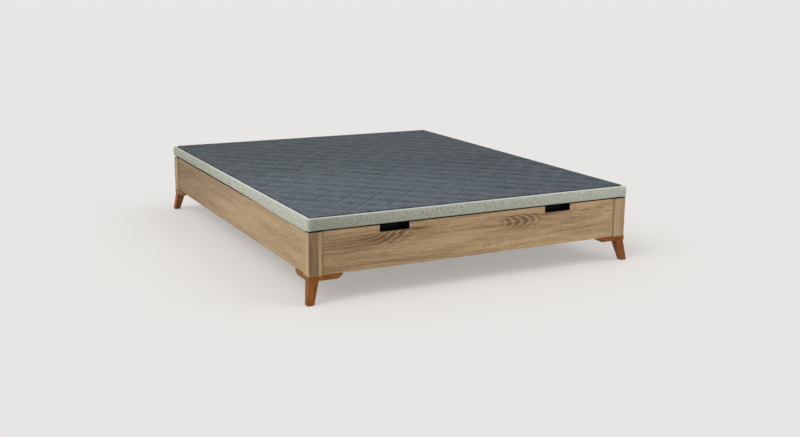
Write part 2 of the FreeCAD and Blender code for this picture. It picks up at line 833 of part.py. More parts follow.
def rail(xs, ys):
    """One batten of the lid frame."""
    return block(xs, ys, (rail_z, rail_top_z))


def lid_frame(sy):
    """The battens of one lid half: two sides, an end, and cross battens."""
    end_y = rail_outer_y
    inner_xs = (-rail_inner_x, rail_inner_x)
    rails = [rail((sx * rail_outer_x, sx * rail_inner_x), (0, sy * end_y)) for name, sx in sides]
    rails.append(rail(inner_xs, (0, sy * cross_width)))
    last_cross = end_y - end_rail_width
    if sy > 0:
        last_cross = rear_cross_y
        rails.append(rail(inner_xs, (end_y, rear_lath_y)))
        rails.append(rail(inner_xs, (rear_cross_y - cross_width, rear_cross_y)))
    else:
        rails.append(rail(inner_xs, (-end_y, end_rail_width - end_y)))
    middle = sy * last_cross / 2
    rails.append(rail(inner_xs, (middle - cross_width / 2, middle + cross_width / 2)))
    holes = [fixing_hole(seat, way, arm_bolt) for name, sx in sides for seat, way in arm_bolt_rows(sx)]
    holes += [fixing_hole(seat, along, join_bolt) for seat in join_bolt_rows()]
    return [without(solid, holes) for solid in rails]


def lid_board(sy):
    """The board that one pad is stretched over."""
    xs = (-rail_outer_x, rail_outer_x)
    return block(xs, (sy * band_split / 2, sy * rail_outer_y), (rail_top_z, rail_top_z + lid_board_thick))


def quilt_channel(turn, offset):
    """A long V-shaped channel across the pads at an angle, an offset from the middle of the bed."""
    half_long = lid_edge_x + lid_edge_y
    half_wide = quilt_channel_width / 2
    section = [
        Vector(-half_wide, -half_long, pad_top_z),
        Vector(0, -half_long, pad_top_z - quilt_channel_depth),
        Vector(half_wide, -half_long, pad_top_z),
        Vector(0, -half_long, pad_top_z + quilt_channel_depth),
    ]
    prism = Part.Face(Part.makePolygon(section + section[:1])).extrude(Vector(0, 2 * half_long, 0))
    prism.translate(Vector(offset, 0, 0))
    prism.rotate(Vector(0, 0, 0), upright, turn)
    return prism


def lid_pad(sy):
    """A quilted pad with rolled edges and diamond channels."""
    xs = (-pad_edge_x + soft_clearance, pad_edge_x - soft_clearance)
    ys = (sy * pad_split / 2, sy * (pad_edge_y - soft_clearance))
    shape = block(xs, ys, (pad_z, pad_top_z))
    shape = shape.makeFillet(pad_corner_round, edges_along(shape, upright))
    shape = shape.makeFillet(pad_round, edges_level(shape, pad_top_z))
    spacing = quilt_pitch * math.sqrt(0.5)
    channels = []
    for slant in (1, -1):
        reaches = [(x + slant * y) * math.sqrt(0.5) for x in xs for y in ys]
        first = math.ceil((min(reaches) - quilt_channel_width / 2) / spacing)
        last = math.floor((max(reaches) + quilt_channel_width / 2) / spacing)
        channels += [quilt_channel(45 * slant, spacing * step) for step in range(first, last + 1)]
    return shape.cut(channels)


def lid_bumpers():
    """Rubber buffers on the posts and boards, under the border of the lid."""
    places = [
        (sx * (half_width - bumper_corner_set_in), bumper_corner_set_in - half_length) for name, sx in sides
    ]
    places += [(sx * board_mid_x, share * bed_length) for name, sx in sides for share in bumper_side_shares]
    places += [(sx * bumper_front_offset, -board_mid_y) for name, sx in sides]
    return [round_bar(bumper_radius, Vector(x, y, box_top_z), Vector(x, y, lid_z)) for x, y in places]


# Fixing groups

def joining_bolts():
    """The bolts and nuts that hold the two lid halves together."""
    solids = []
    for seat in join_bolt_rows():
        solids.append(fixing_solid(seat, along, join_bolt))
        nut_seat = seat + along * 2 * cross_width
        nut = round_bar(join_nut_radius, nut_seat, nut_seat + along * join_nut_height)
        solids.append(nut.cut(fixing_hole(seat, along, join_bolt)))
    return solids


def collect_parts():
    """Every piece by name: one solid, or the list of solids of a group."""
    parts = {"front_board": front_board(), "rear_board": end_board(1)}
    for name, sx in sides:
        parts[name + "_board"] = side_board(sx)
        parts["finger_cup_" + name] = finger_cup(sx)
        parts["floor_panel_" + name] = floor_panel(sx)
        parts["ledge_" + name] = side_ledge(sx)
        parts["hinge_plate_" + name] = hinge_plate(sx)
        parts["lid_arm_" + name] = lid_arm(sx)
        parts["strut_cylinder_" + name] = strut_cylinder(sx)
        parts["strut_rod_" + name] = strut_rod(sx)
    for name, sy in ends:
        parts["ledge_" + name] = end_ledge(sy)
        parts["centre_leg_" + name] = centre_leg(sy)
    for name, sx, sy in corners:
        parts["post_" + name] = post(sx, sy)
        parts["leg_bracket_" + name] = leg_bracket(sx, sy)
        parts["leg_" + name] = leg(sx, sy)
    parts["floor_spine"] = floor_spine()
    parts["leg_glides"] = glides()
    parts["leg_bolts"] = [leg_bolt(sx, sy) for name, sx, sy in corners]
    parts["leg_bolts"] += [centre_bolt(sy) for name, sy in ends]
    parts["bracket_screws"] = [
        fixing_solid(seat, upright, bracket_screw)
        for name, sx, sy in corners for seat in bracket_screws_at(sx, sy)
    ]
    parts["ledge_screws"] = [fixing_solid(seat, way, ledge_screw) for seat, way in ledge_screw_rows()]
    parts["corner_angles"] = corner_angles()
    parts["corner_screws"] = [fixing_solid(seat, way, kind) for seat, way, kind in angle_screw_rows()]
    parts["hinge_screws"] = [
        sunk_solid(seat, way, board_screw) for name, sx in sides for seat, way in hinge_screw_rows(sx)
    ]
    parts["hinge_screws"] += [
        fixing_solid(seat, way, post_screw) for name, sx in sides for seat, way in flange_screw_rows(sx)
    ]
    parts["hinge_pins"] = [hinge_pin(sx) for name, sx in sides]
    parts["hinge_washers"] = [hinge_washer(sx) for name, sx in sides]
    parts["strut_base_studs"] = [
        stud(sx, base_stud_y, base_stud_z, hinge_inner_x, hinge_thick) for name, sx in sides
    ]
    parts["strut_lid_studs"] = [
        stud(sx, lid_stud_y, lid_stud_z, arm_inner_x, arm_plate_thick) for name, sx in sides
    ]
    parts["lid_arm_bolts"] = [
        fixing_solid(seat, way, arm_bolt) for name, sx in sides for seat, way in arm_bolt_rows(sx)
    ]
    parts["joining_bolts"] = joining_bolts()
    parts["lid_bumpers"] = lid_bumpers()
    ring = band_ring()
    for name, sy in (("foot", -1), ("head", 1)):
        parts["lid_frame_" + name] = lid_frame(sy)
        parts["lid_board_" + name] = lid_board(sy)
        parts["lid_band_" + name] = lid_band(ring, sy)
        parts["lid_pad_" + name] = lid_pad(sy)
    return parts


def write_parts(parts):
    """Write each piece to its own file and print what it holds."""
    os.makedirs("parts", exist_ok=True)
    for name, piece in parts.items():
        solids = piece if isinstance(piece, list) else [piece]
        solids = [solid for shape in solids for solid in shape.Solids]
        whole = solids[0] if len(solids) == 1 else Part.makeCompound(solids)
        whole.exportStep("parts/" + name + ".step")
        valid = all(solid.isValid() and solid.Volume > 0 for solid in solids)
        print(name, len(solids), "solids", round(whole.Volume), "mm3", "ok" if valid else "INVALID")


write_parts(collect_parts())
print("pivot", round(pivot_y, 3), round(pivot_z, 3))
print("lower stud", round(base_stud_y, 3), round(base_stud_z, 3))
print("upper stud", round(lid_stud_y, 3), round(lid_stud_z, 3))
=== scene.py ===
"""Storage bed for a 160 by 200 cm mattress: its finishes and soft pieces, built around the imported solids.

Metres, +Z up, +Y from the foot to the hinged head end, +X to the right of someone at the foot.
"""

import logging
import math
from abc import ABC, abstractmethod
from collections.abc import Callable, Sequence
from dataclasses import dataclass, field, replace
from enum import Enum
from functools import partial
from typing import Union

import bmesh
import bpy
import numpy as np
from mathutils import Matrix, Vector, noise


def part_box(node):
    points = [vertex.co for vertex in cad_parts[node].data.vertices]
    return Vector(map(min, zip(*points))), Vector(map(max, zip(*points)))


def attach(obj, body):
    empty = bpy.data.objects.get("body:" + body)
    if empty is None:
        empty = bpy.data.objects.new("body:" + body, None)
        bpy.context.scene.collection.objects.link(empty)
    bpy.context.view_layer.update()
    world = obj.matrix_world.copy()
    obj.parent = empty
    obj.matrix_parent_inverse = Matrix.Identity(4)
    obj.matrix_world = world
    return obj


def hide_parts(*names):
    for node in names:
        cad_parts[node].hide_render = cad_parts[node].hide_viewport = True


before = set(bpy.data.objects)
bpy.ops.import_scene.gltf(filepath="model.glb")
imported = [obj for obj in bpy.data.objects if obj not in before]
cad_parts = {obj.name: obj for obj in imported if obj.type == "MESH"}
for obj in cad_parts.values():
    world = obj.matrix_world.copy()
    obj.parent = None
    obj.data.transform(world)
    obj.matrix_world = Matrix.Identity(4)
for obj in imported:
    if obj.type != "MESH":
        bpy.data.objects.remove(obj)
LOG = logging.getLogger("storage_bed")

Colour = tuple[float, float, float, float]
Triple = tuple[float, float, float]
Band = tuple[float, float]
Hump = tuple[Band, Band]
Run = tuple[Vector, Vector]
Key = Union[int, str]


def srgb(red: int, green: int, blue: int) -> Colour:
    """Turn a colour of 0 to 255 per channel into linear light, by the standard curve.

    Args:
        red: Red channel.
        green: Green channel.
        blue: Blue channel.

    Returns:
        The linear colour with full alpha.
    """
    shares = (channel / 255 for channel in (red, green, blue))
    return (*(share / 12.92 if share <= 0.04045 else ((share + 0.055) / 1.055) ** 2.4 for share in shares), 1.0)


def clamped(share: float) -> float:
    """A share held between 0 and 1."""
    return min(1.0, max(0.0, share))


class Grain(Enum):
    """The way that wood fibres run."""

    ACROSS = "X"
    LENGTHWISE = "Y"
    UPRIGHT = "Z"
    LEVEL = "XY"


class Half(Enum):
    """A half of the parted lid, by the sign of its Y."""

    FOOT = -1
    HEAD = 1

    @property
    def label(self) -> str:
        """The half's name in piece names."""
        return self.name.lower()

    @property
    def pad(self) -> str:
        """The node of the half's pad."""
        return "lid_pad_" + self.label

    @property
    def band(self) -> str:
        """The node of the half's border."""
        return "lid_band_" + self.label


# Node trees

def math_operator(operation: str) -> tuple[Callable, Callable]:
    """Make an arithmetic operator of a signal and its reflected form.

    Args:
        operation: The Math node's operation.

    Returns:
        The method for a signal on the left, and the one for a signal on the right.
    """
    def forward(self: "Signal", other: "Value") -> "Signal":
        """Add the node with the signal first."""
        return self.graph.math(operation, self, other)

    def reflected(self: "Signal", other: "Value") -> "Signal":
        """Add the node with the signal last."""
        return self.graph.math(operation, other, self)

    return forward, reflected


class Signal:
    """A node socket that takes part in Python arithmetic."""

    def __init__(self, graph: "Graph", socket: bpy.types.NodeSocket) -> None:
        """Keep the socket and the graph that adds nodes for it."""
        self.graph = graph
        self.socket = socket

    __add__, __radd__ = math_operator("ADD")
    __sub__, __rsub__ = math_operator("SUBTRACT")
    __mul__, __rmul__ = math_operator("MULTIPLY")
    __truediv__, __rtruediv__ = math_operator("DIVIDE")
    __pow__, __rpow__ = math_operator("POWER")

    def __abs__(self) -> "Signal":
        """Size without sign."""
        return self.graph.math("ABSOLUTE", self)

    def outputs(self, *keys: Key) -> list["Signal"]:
        """Outputs of the same node, by name or number."""
        return [Signal(self.graph, self.socket.node.outputs[key]) for key in keys]


Value = Union[Signal, float]
Tint = Union[Signal, Colour]
Sockets = dict[Key, object]


class Graph:
    """A node tree with one method for any node and a few short ways to the common ones."""

    def __init__(self, tree: bpy.types.NodeTree) -> None:
        """Keep the tree and empty it."""
        self.tree = tree
        self.tree.nodes.clear()

    def node(self, kind: str, settings: dict[str, object] | None = None, inputs: Sockets | None = None,
             output: Key = 0) -> Signal:
        """Add a node, set it up and feed its sockets.

        Args:
            kind: The node's type.
            settings: The node's own properties, which are set first.
            inputs: Values or signals by socket name or number.
            output: The socket to return, by name or number.

        Returns:
            The chosen output as a signal, without a socket where the node has no output.
        """
        made = self.tree.nodes.new(kind)
        for key, value in (settings or {}).items():
            setattr(made, key, value)
        for key, value in (inputs or {}).items():
            if isinstance(value, Signal):
                self.tree.links.new(value.socket, made.inputs[key])
            else:
                made.inputs[key].default_value = value
        return Signal(self, made.outputs[output] if made.outputs else None)

    def math(self, operation: str, *values: Value) -> Signal:
        """Add a Math node of one or two values."""
        return self.node("ShaderNodeMath", {"operation": operation}, dict(enumerate(values)))

    def step(self, value: Signal, low: float, high: float) -> Signal:
        """A smooth rise from 0 to 1 as a value goes from low to high."""
        return self.node("ShaderNodeMapRange", {"interpolation_type": "SMOOTHSTEP"}, {0: value, 1: low, 2: high})

    def hump(self, value: Signal, rise: Band, fall: Band) -> Signal:
        """A smooth rise from 0 to 1 over one band of a value, and back to 0 over another."""
        return self.step(value, *rise) * (1.0 - self.step(value, *fall))

    def blend(self, share: Value, first: Tint, second: Tint) -> Signal:
        """Mix two colours by a share."""
        return self.node("ShaderNodeMix", {"data_type": "RGBA"}, {0: share, 6: first, 7: second}, 2)

    def join(self, x: Value, y: Value, z: Value) -> Signal:
        """A vector from three values."""
        return self.node("ShaderNodeCombineXYZ", {}, {0: x, 1: y, 2: z})

    def noise(self, vector: Signal, scale: float = 1.0, detail: float = 2.0, roughness: float = 0.5) -> Signal:
        """Smooth noise around 0.5."""
        return self.node("ShaderNodeTexNoise", {}, {
            "Vector": vector, "Scale": scale, "Detail": detail, "Roughness": roughness,
        })


class Surface(Graph):
    """The node tree of one material, with its coordinates ready."""

    def __init__(self, name: str) -> None:
        """Start a material whose coordinates are the piece's own."""
        self.material = bpy.data.materials.new(name)
        self.material.use_nodes = True
        super().__init__(self.material.node_tree)
        self.place = self.node("ShaderNodeTexCoord", output="Object")
        self.axes = self.node("ShaderNodeSeparateXYZ", {}, {0: self.place}).outputs(0, 1, 2)
        self.x, self.y, self.z = self.axes

    def drawn(self, axes: Sequence[Signal], scales: Sequence[float], detail: float = 2.0,
              roughness: float = 0.5) -> Signal:
        """Noise that is drawn out differently along three ways.

        Args:
            axes: The three ways.
            scales: The noise's changes per metre along each.
            detail: How many finer layers it has.
            roughness: How much these show.

        Returns:
            The noise, around 0.5.
        """
        vector = self.join(*(axis * scale for axis, scale in zip(axes, scales)))
        return self.noise(vector, detail=detail, roughness=roughness)

    def fibres(self, axes: Sequence[Signal], along: float, across: float, detail: float = 2.0) -> Signal:
        """Noise drawn out along the first of three ways, by its changes per metre along and across."""
        return self.drawn(axes, (along, across, across), detail)

    def weave(self, warp: Signal, weft: Signal, threads: float) -> Signal:
        """Crossed threads, so many to the metre, from -1 to 1."""
        return self.math("SINE", warp * (math.tau * threads)) * self.math("SINE", weft * (math.tau * threads))

    def bump(self, height: Signal, distance: float, strength: float) -> Signal:
        """A normal from a height, where 1 is the distance in metres."""
        return self.node("ShaderNodeBump", {}, {"Strength": strength, "Distance": distance, "Height": height})

    def finish(self, sockets: Sockets) -> bpy.types.Material:
        """Close the tree with one shader.

        Args:
            sockets: Values or signals by the shader's socket name.

        Returns:
            The finished material.
        """
        shader = self.node("ShaderNodeBsdfPrincipled", {}, sockets)
        self.node("ShaderNodeOutputMaterial", {}, {"Surface": shader})
        return self.material


# Finishes

@dataclass(frozen=True)
class Finish(ABC):
    """A finish that makes one material, which has its name."""

    name: str

    @abstractmethod
    def paint(self, surface: Surface) -> Sockets:
        """Work out the shader's sockets.

        Args:
            surface: The surface that is painted.

        Returns:
            Values or signals by socket name.
        """

    def material(self) -> bpy.types.Material:
        """Build the material."""
        surface = Surface(self.name)
        return surface.finish(self.paint(surface))


@dataclass(frozen=True)
class Spot:
    """A place on a board with a swirl, a stain, a patch of painted light and shade, or saw marks, along the run and
    up the face.
    """

    run: float
    rise: float
    run_reach: float
    rise_reach: float
    strength: float = 1.0
    lean: float = 0.0

    def mask(self, run: Signal, rise: Signal) -> Signal:
        """Show where the spot lies.

        Args:
            run: The place along the fibres.
            rise: The place up the face.

        Returns:
            A soft hump of height 1 at the spot.
        """
        up = rise - self.rise
        along = (run - self.run - up * self.lean) / self.run_reach
        reach = along ** 2.0 + (up / self.rise_reach) ** 2.0
        return 1.0 / ((1.0 + reach) ** 2.0)


@dataclass(frozen=True)
class Sweep:
    """A stretch of a board over which the growth rings climb, the more the higher up the face."""

    run_band: Band
    rise_band: Band
    rings: float

    def climb(self, surface: Surface, run: Signal, rise: Signal) -> Signal:
        """How many rings the grain has climbed."""
        return surface.step(run, *self.run_band) * surface.step(rise, *self.rise_band) * self.rings


@dataclass(frozen=True)
class Arch:
    """Growth rings nested behind each other, bowed so that their tips point along the run."""

    spot: Spot
    spacing: float = 0.043
    bow: float = 50.0
    edge: Band = (0.12, 0.50)

    def mask(self, surface: Surface, run: Signal, rise: Signal) -> Signal:
        """Where the arches show."""
        return surface.step(self.spot.mask(run, rise), *self.edge)

    def rings(self, run: Signal, rise: Signal) -> Signal:
        """The ring number."""
        return (run + (rise - self.spot.rise) ** 2.0 * self.bow) / self.spacing


@dataclass(frozen=True)
class OakDecor(Finish):
    """Sawn oak decor: long fibres, growth rings that swirl at a few spots, pores and saw marks."""

    grain: Grain
    light: Colour = srgb(198, 170, 131)
    dark: Colour = srgb(106, 78, 48)
    pore: Colour = srgb(82, 58, 36)
    sawn: Colour = srgb(216, 192, 154)
    ring_density: float = 74.0
    ring_sharpness: float = 2.2
    ring_weight: float = 0.08
    arch_wander: float = 0.5
    plain_figure: float = 0.25
    figure_weight: float = 0.36
    tone_weight: float = 0.26
    streak_weight: float = 0.30
    fine_weight: float = 0.8
    pore_weight: float = 0.42
    seed: float = 0.0
    middle_grain: float = 0.37
    middle_shade: float = 0.34
    tone_shift: float = 0.0
    painted_end_shade: Triple | None = None
    contrast: float = 1.0
    swirls: tuple[Spot, ...] = ()
    sweeps: tuple[Sweep, ...] = ()
    arches: tuple[Arch, ...] = ()
    stains_and_painted_light: tuple[Spot, ...] = ()
    saw_marks: tuple[Spot, ...] = ()
    most_sawn: float = 0.5
    dark_face: Band | None = None
    face_edge: Band = (-0.9985, -0.9965)
    inner_shade: float = 0.26
    outer_shade: float = 0.32

    def _axes(self, surface: Surface) -> tuple[Signal, Signal, Signal]:
        """Choose the ways of the grain.

        Args:
            surface: The surface that is painted.

        Returns:
            The run along the fibres, the rise across them on the face, and the depth into it.
        """
        if self.grain is Grain.ACROSS:
            return surface.x, surface.z, surface.y
        if self.grain is Grain.LENGTHWISE:
            return surface.y, surface.z, surface.x
        return surface.z, surface.x + surface.y, surface.x - surface.y

    def _ring(self, surface: Surface, phase: Signal) -> Signal:
        """A broad dark ring between narrow pale lines."""
        return 1.0 - (surface.math("SINE", phase * math.tau) * 0.5 + 0.5) ** self.ring_sharpness

    def _face_shade(self, surface: Surface) -> Signal:
        """Darken a post's front face.

        Args:
            surface: The surface that is painted.

        Returns:
            The added shade, more on the outer part than on the pale inner strip.
        """
        low, high = self.dark_face
        front = 1.0 - surface.step(surface.y, *self.face_edge)
        outer = surface.hump(surface.x, (low - 0.001, low), (high, high + 0.002))
        return front * (outer * self.outer_shade + self.inner_shade)

    def _figure(self, surface: Surface, run: Signal, rise: Signal, wander: Signal) -> tuple[Signal, list[Signal]]:
        """Lay out the growth rings.

        Args:
            surface: The surface that is painted.
            run: The place along the fibres.
            rise: The place up the face.
            wander: How far the rings wander, in rings.

        Returns:
            The rings, and the masks of the places where they show most.
        """
        phase = rise * self.ring_density
        for sweep in self.sweeps:
            phase = phase - sweep.climb(surface, run, rise)
        masks = []
        for spot in self.swirls:
            masks.append(spot.mask(run, rise))
            phase = phase + masks[-1] * spot.strength
        ring = self._ring(surface, phase + wander)
        for arch in self.arches:
            masks.append(arch.mask(surface, run, rise))
            bowed = self._ring(surface, arch.rings(run, rise) + wander * self.arch_wander)
            ring = ring + (bowed - ring) * masks[-1]
        return ring, masks

    def paint(self, surface: Surface) -> Sockets:
        """Paint the oak.

        Args:
            surface: The surface that is painted.

        Returns:
            The shader's sockets, with the grain along the chosen axis.
        """
        run, rise, depth = self._axes(surface)
        fibres = partial(surface.fibres, (run + self.seed, rise, depth))
        tone = surface.step(fibres(along=1.5, across=13.0, detail=3.0), 0.30, 0.72)
        streak = surface.step(fibres(along=3.2, across=85.0, detail=3.0), 0.34, 0.70)
        fine = fibres(along=24.0, across=380.0)
        pores = surface.step(fibres(along=40.0, across=640.0), 0.57, 0.70)
        wander = fibres(along=2.4, across=8.0) * 4.0 + fibres(along=11.0, across=60.0) * 0.7
        ring, masks = self._figure(surface, run, rise, wander)
        figure = surface.math("MINIMUM", sum(masks, tone * self.plain_figure), 1.0)
        rings = ring * (figure * self.figure_weight + self.ring_weight)
        shade = tone * self.tone_weight + streak * self.streak_weight + rings - self.middle_grain
        shade = shade * self.contrast + (fine - 0.5) * self.fine_weight + (self.tone_shift + self.middle_shade)
        # Spots of darker and lighter wood, some of them patches of painted shade and painted light.
        for spot in self.stains_and_painted_light:
            shade = shade + spot.mask(run, rise) * spot.strength
        # Painted shade, darker towards one end of the board, for the light falling off there.
        if self.painted_end_shade is not None:
            start, end, amount = self.painted_end_shade
            shade = shade + surface.step(run, start, end) * amount
        if self.dark_face is not None:
            shade = shade + self._face_shade(surface)
        colour = surface.blend(shade, self.light, self.dark)
        colour = surface.blend(pores * self.pore_weight, colour, self.pore)
        ticks = surface.step(fibres(along=190.0, across=16.0), 0.50, 0.68)
        patch = surface.step(fibres(along=4.5, across=15.0), 0.56, 0.70) * 0.20
        for spot in self.saw_marks:
            patch = patch + spot.mask(run, rise) * spot.strength
        colour = surface.blend(ticks * surface.math("MINIMUM", patch, self.most_sawn), colour, self.sawn)
        height = fine * 0.5 - pores * 0.8 - ring * 0.2
        return {
            "Base Color": colour, "Roughness": fine * 0.18 + 0.46, "Specular IOR Level": 0.28,
            "Normal": surface.bump(height, distance=0.0005, strength=0.5),
        }


@dataclass(frozen=True)
class StainedWood(Finish):
    """Reddish brown stained hardwood under a satin lacquer, for the legs and their brackets."""

    grain: Grain
    light: Colour = srgb(147, 85, 25)
    dark: Colour = srgb(96, 51, 10)
    line: Colour = srgb(70, 32, 12)

    def paint(self, surface: Surface) -> Sockets:
        """Paint the stained wood.

        Args:
            surface: The surface that is painted.

        Returns:
            The shader's sockets, with the grain upright, or level along both arms of a bracket.
        """
        axes = surface.x + surface.y, surface.z, surface.x - surface.y
        if self.grain is Grain.UPRIGHT:
            axes = axes[1], axes[0], axes[2]
        fibres = partial(surface.fibres, axes)
        tone = surface.step(fibres(along=7.0, across=52.0, detail=3.0), 0.28, 0.75)
        fine = fibres(along=26.0, across=520.0)
        lines = surface.step(fibres(along=12.0, across=240.0), 0.60, 0.74)
        colour = surface.blend(tone * 0.7 + (fine - 0.5) * 0.5 + 0.08, self.light, self.dark)
        colour = surface.blend(lines * 0.35, colour, self.line)
        return {
            "Base Color": colour, "Roughness": fine * 0.16 + 0.36, "Specular IOR Level": 0.25,
            "Normal": surface.bump(fine * 0.6 - lines, distance=0.0003, strength=0.4),
        }


@dataclass(frozen=True)
class Softwood(Finish):
    """Planed softwood battens with rings and a few knots."""

    grain: Grain
    turn_beyond: float | None = None
    light: Colour = srgb(222, 193, 147)
    dark: Colour = srgb(186, 142, 88)
    knot: Colour = srgb(118, 74, 40)
    ring_density: tuple[float, float] = (90.0, 60.0)
    ring_wander: float = 5.0
    ring_sharpness: float = 3.0

    def paint(self, surface: Surface) -> Sockets:
        """Paint the softwood.

        Args:
            surface: The surface that is painted.

        Returns:
            The shader's sockets, with the grain along the batten; past turn_beyond from the middle it runs along Y.
        """
        run, rise, depth = surface.axes
        if self.grain is Grain.LENGTHWISE:
            run, rise = surface.y, surface.x
        elif self.grain is Grain.UPRIGHT:
            run, depth = surface.z, surface.x
        if self.turn_beyond is not None:
            side = surface.math("GREATER_THAN", abs(surface.x), self.turn_beyond)
            run = surface.x + (surface.y - surface.x) * side
            rise = surface.y + (surface.x - surface.y) * side
        fibres = partial(surface.fibres, (run, rise, depth))
        phase = rise * self.ring_density[0] + depth * self.ring_density[1]
        phase = phase + fibres(along=1.8, across=9.0) * self.ring_wander
        ring = (surface.math("SINE", phase * math.tau) * 0.5 + 0.5) ** self.ring_sharpness
        fine = fibres(along=20.0, across=500.0)
        knots = surface.step(fibres(along=5.0, across=16.0), 0.70, 0.78)
        colour = surface.blend(ring * 0.55 + (fine - 0.5) * 0.6 + 0.1, self.light, self.dark)
        colour = surface.blend(knots * 0.7, colour, self.knot)
        return {
            "Base Color": colour, "Roughness": fine * 0.15 + 0.58,
            "Normal": surface.bump(fine + ring * 0.3, distance=0.0004, strength=0.4),
        }


@dataclass(frozen=True)
class Fibreboard(Finish):
    """Smooth pressed board with short fibres."""

    light: Colour = srgb(204, 180, 142)
    dark: Colour = srgb(160, 130, 94)

    def paint(self, surface: Surface) -> Sockets:
        """Paint the board.

        Args:
            surface: The surface that is painted.

        Returns:
            The shader's sockets, from flecks and clouds.
        """
        flecks = surface.noise(surface.place, scale=420.0, detail=3.0, roughness=0.7)
        clouds = surface.noise(surface.place, scale=9.0, detail=3.0)
        colour = surface.blend(surface.step(flecks, 0.3, 0.72) * 0.6 + clouds * 0.4, self.light, self.dark)
        return {
            "Base Color": colour, "Roughness": flecks * 0.2 + 0.5,
            "Normal": surface.bump(flecks, distance=0.0002, strength=0.4),
        }


@dataclass(frozen=True)
class Seams:
    """How far a place lies past the level and the steep seams, from 0 to 1, and how hard the thread pulls there."""

    level: Signal
    steep: Signal
    pull: Signal


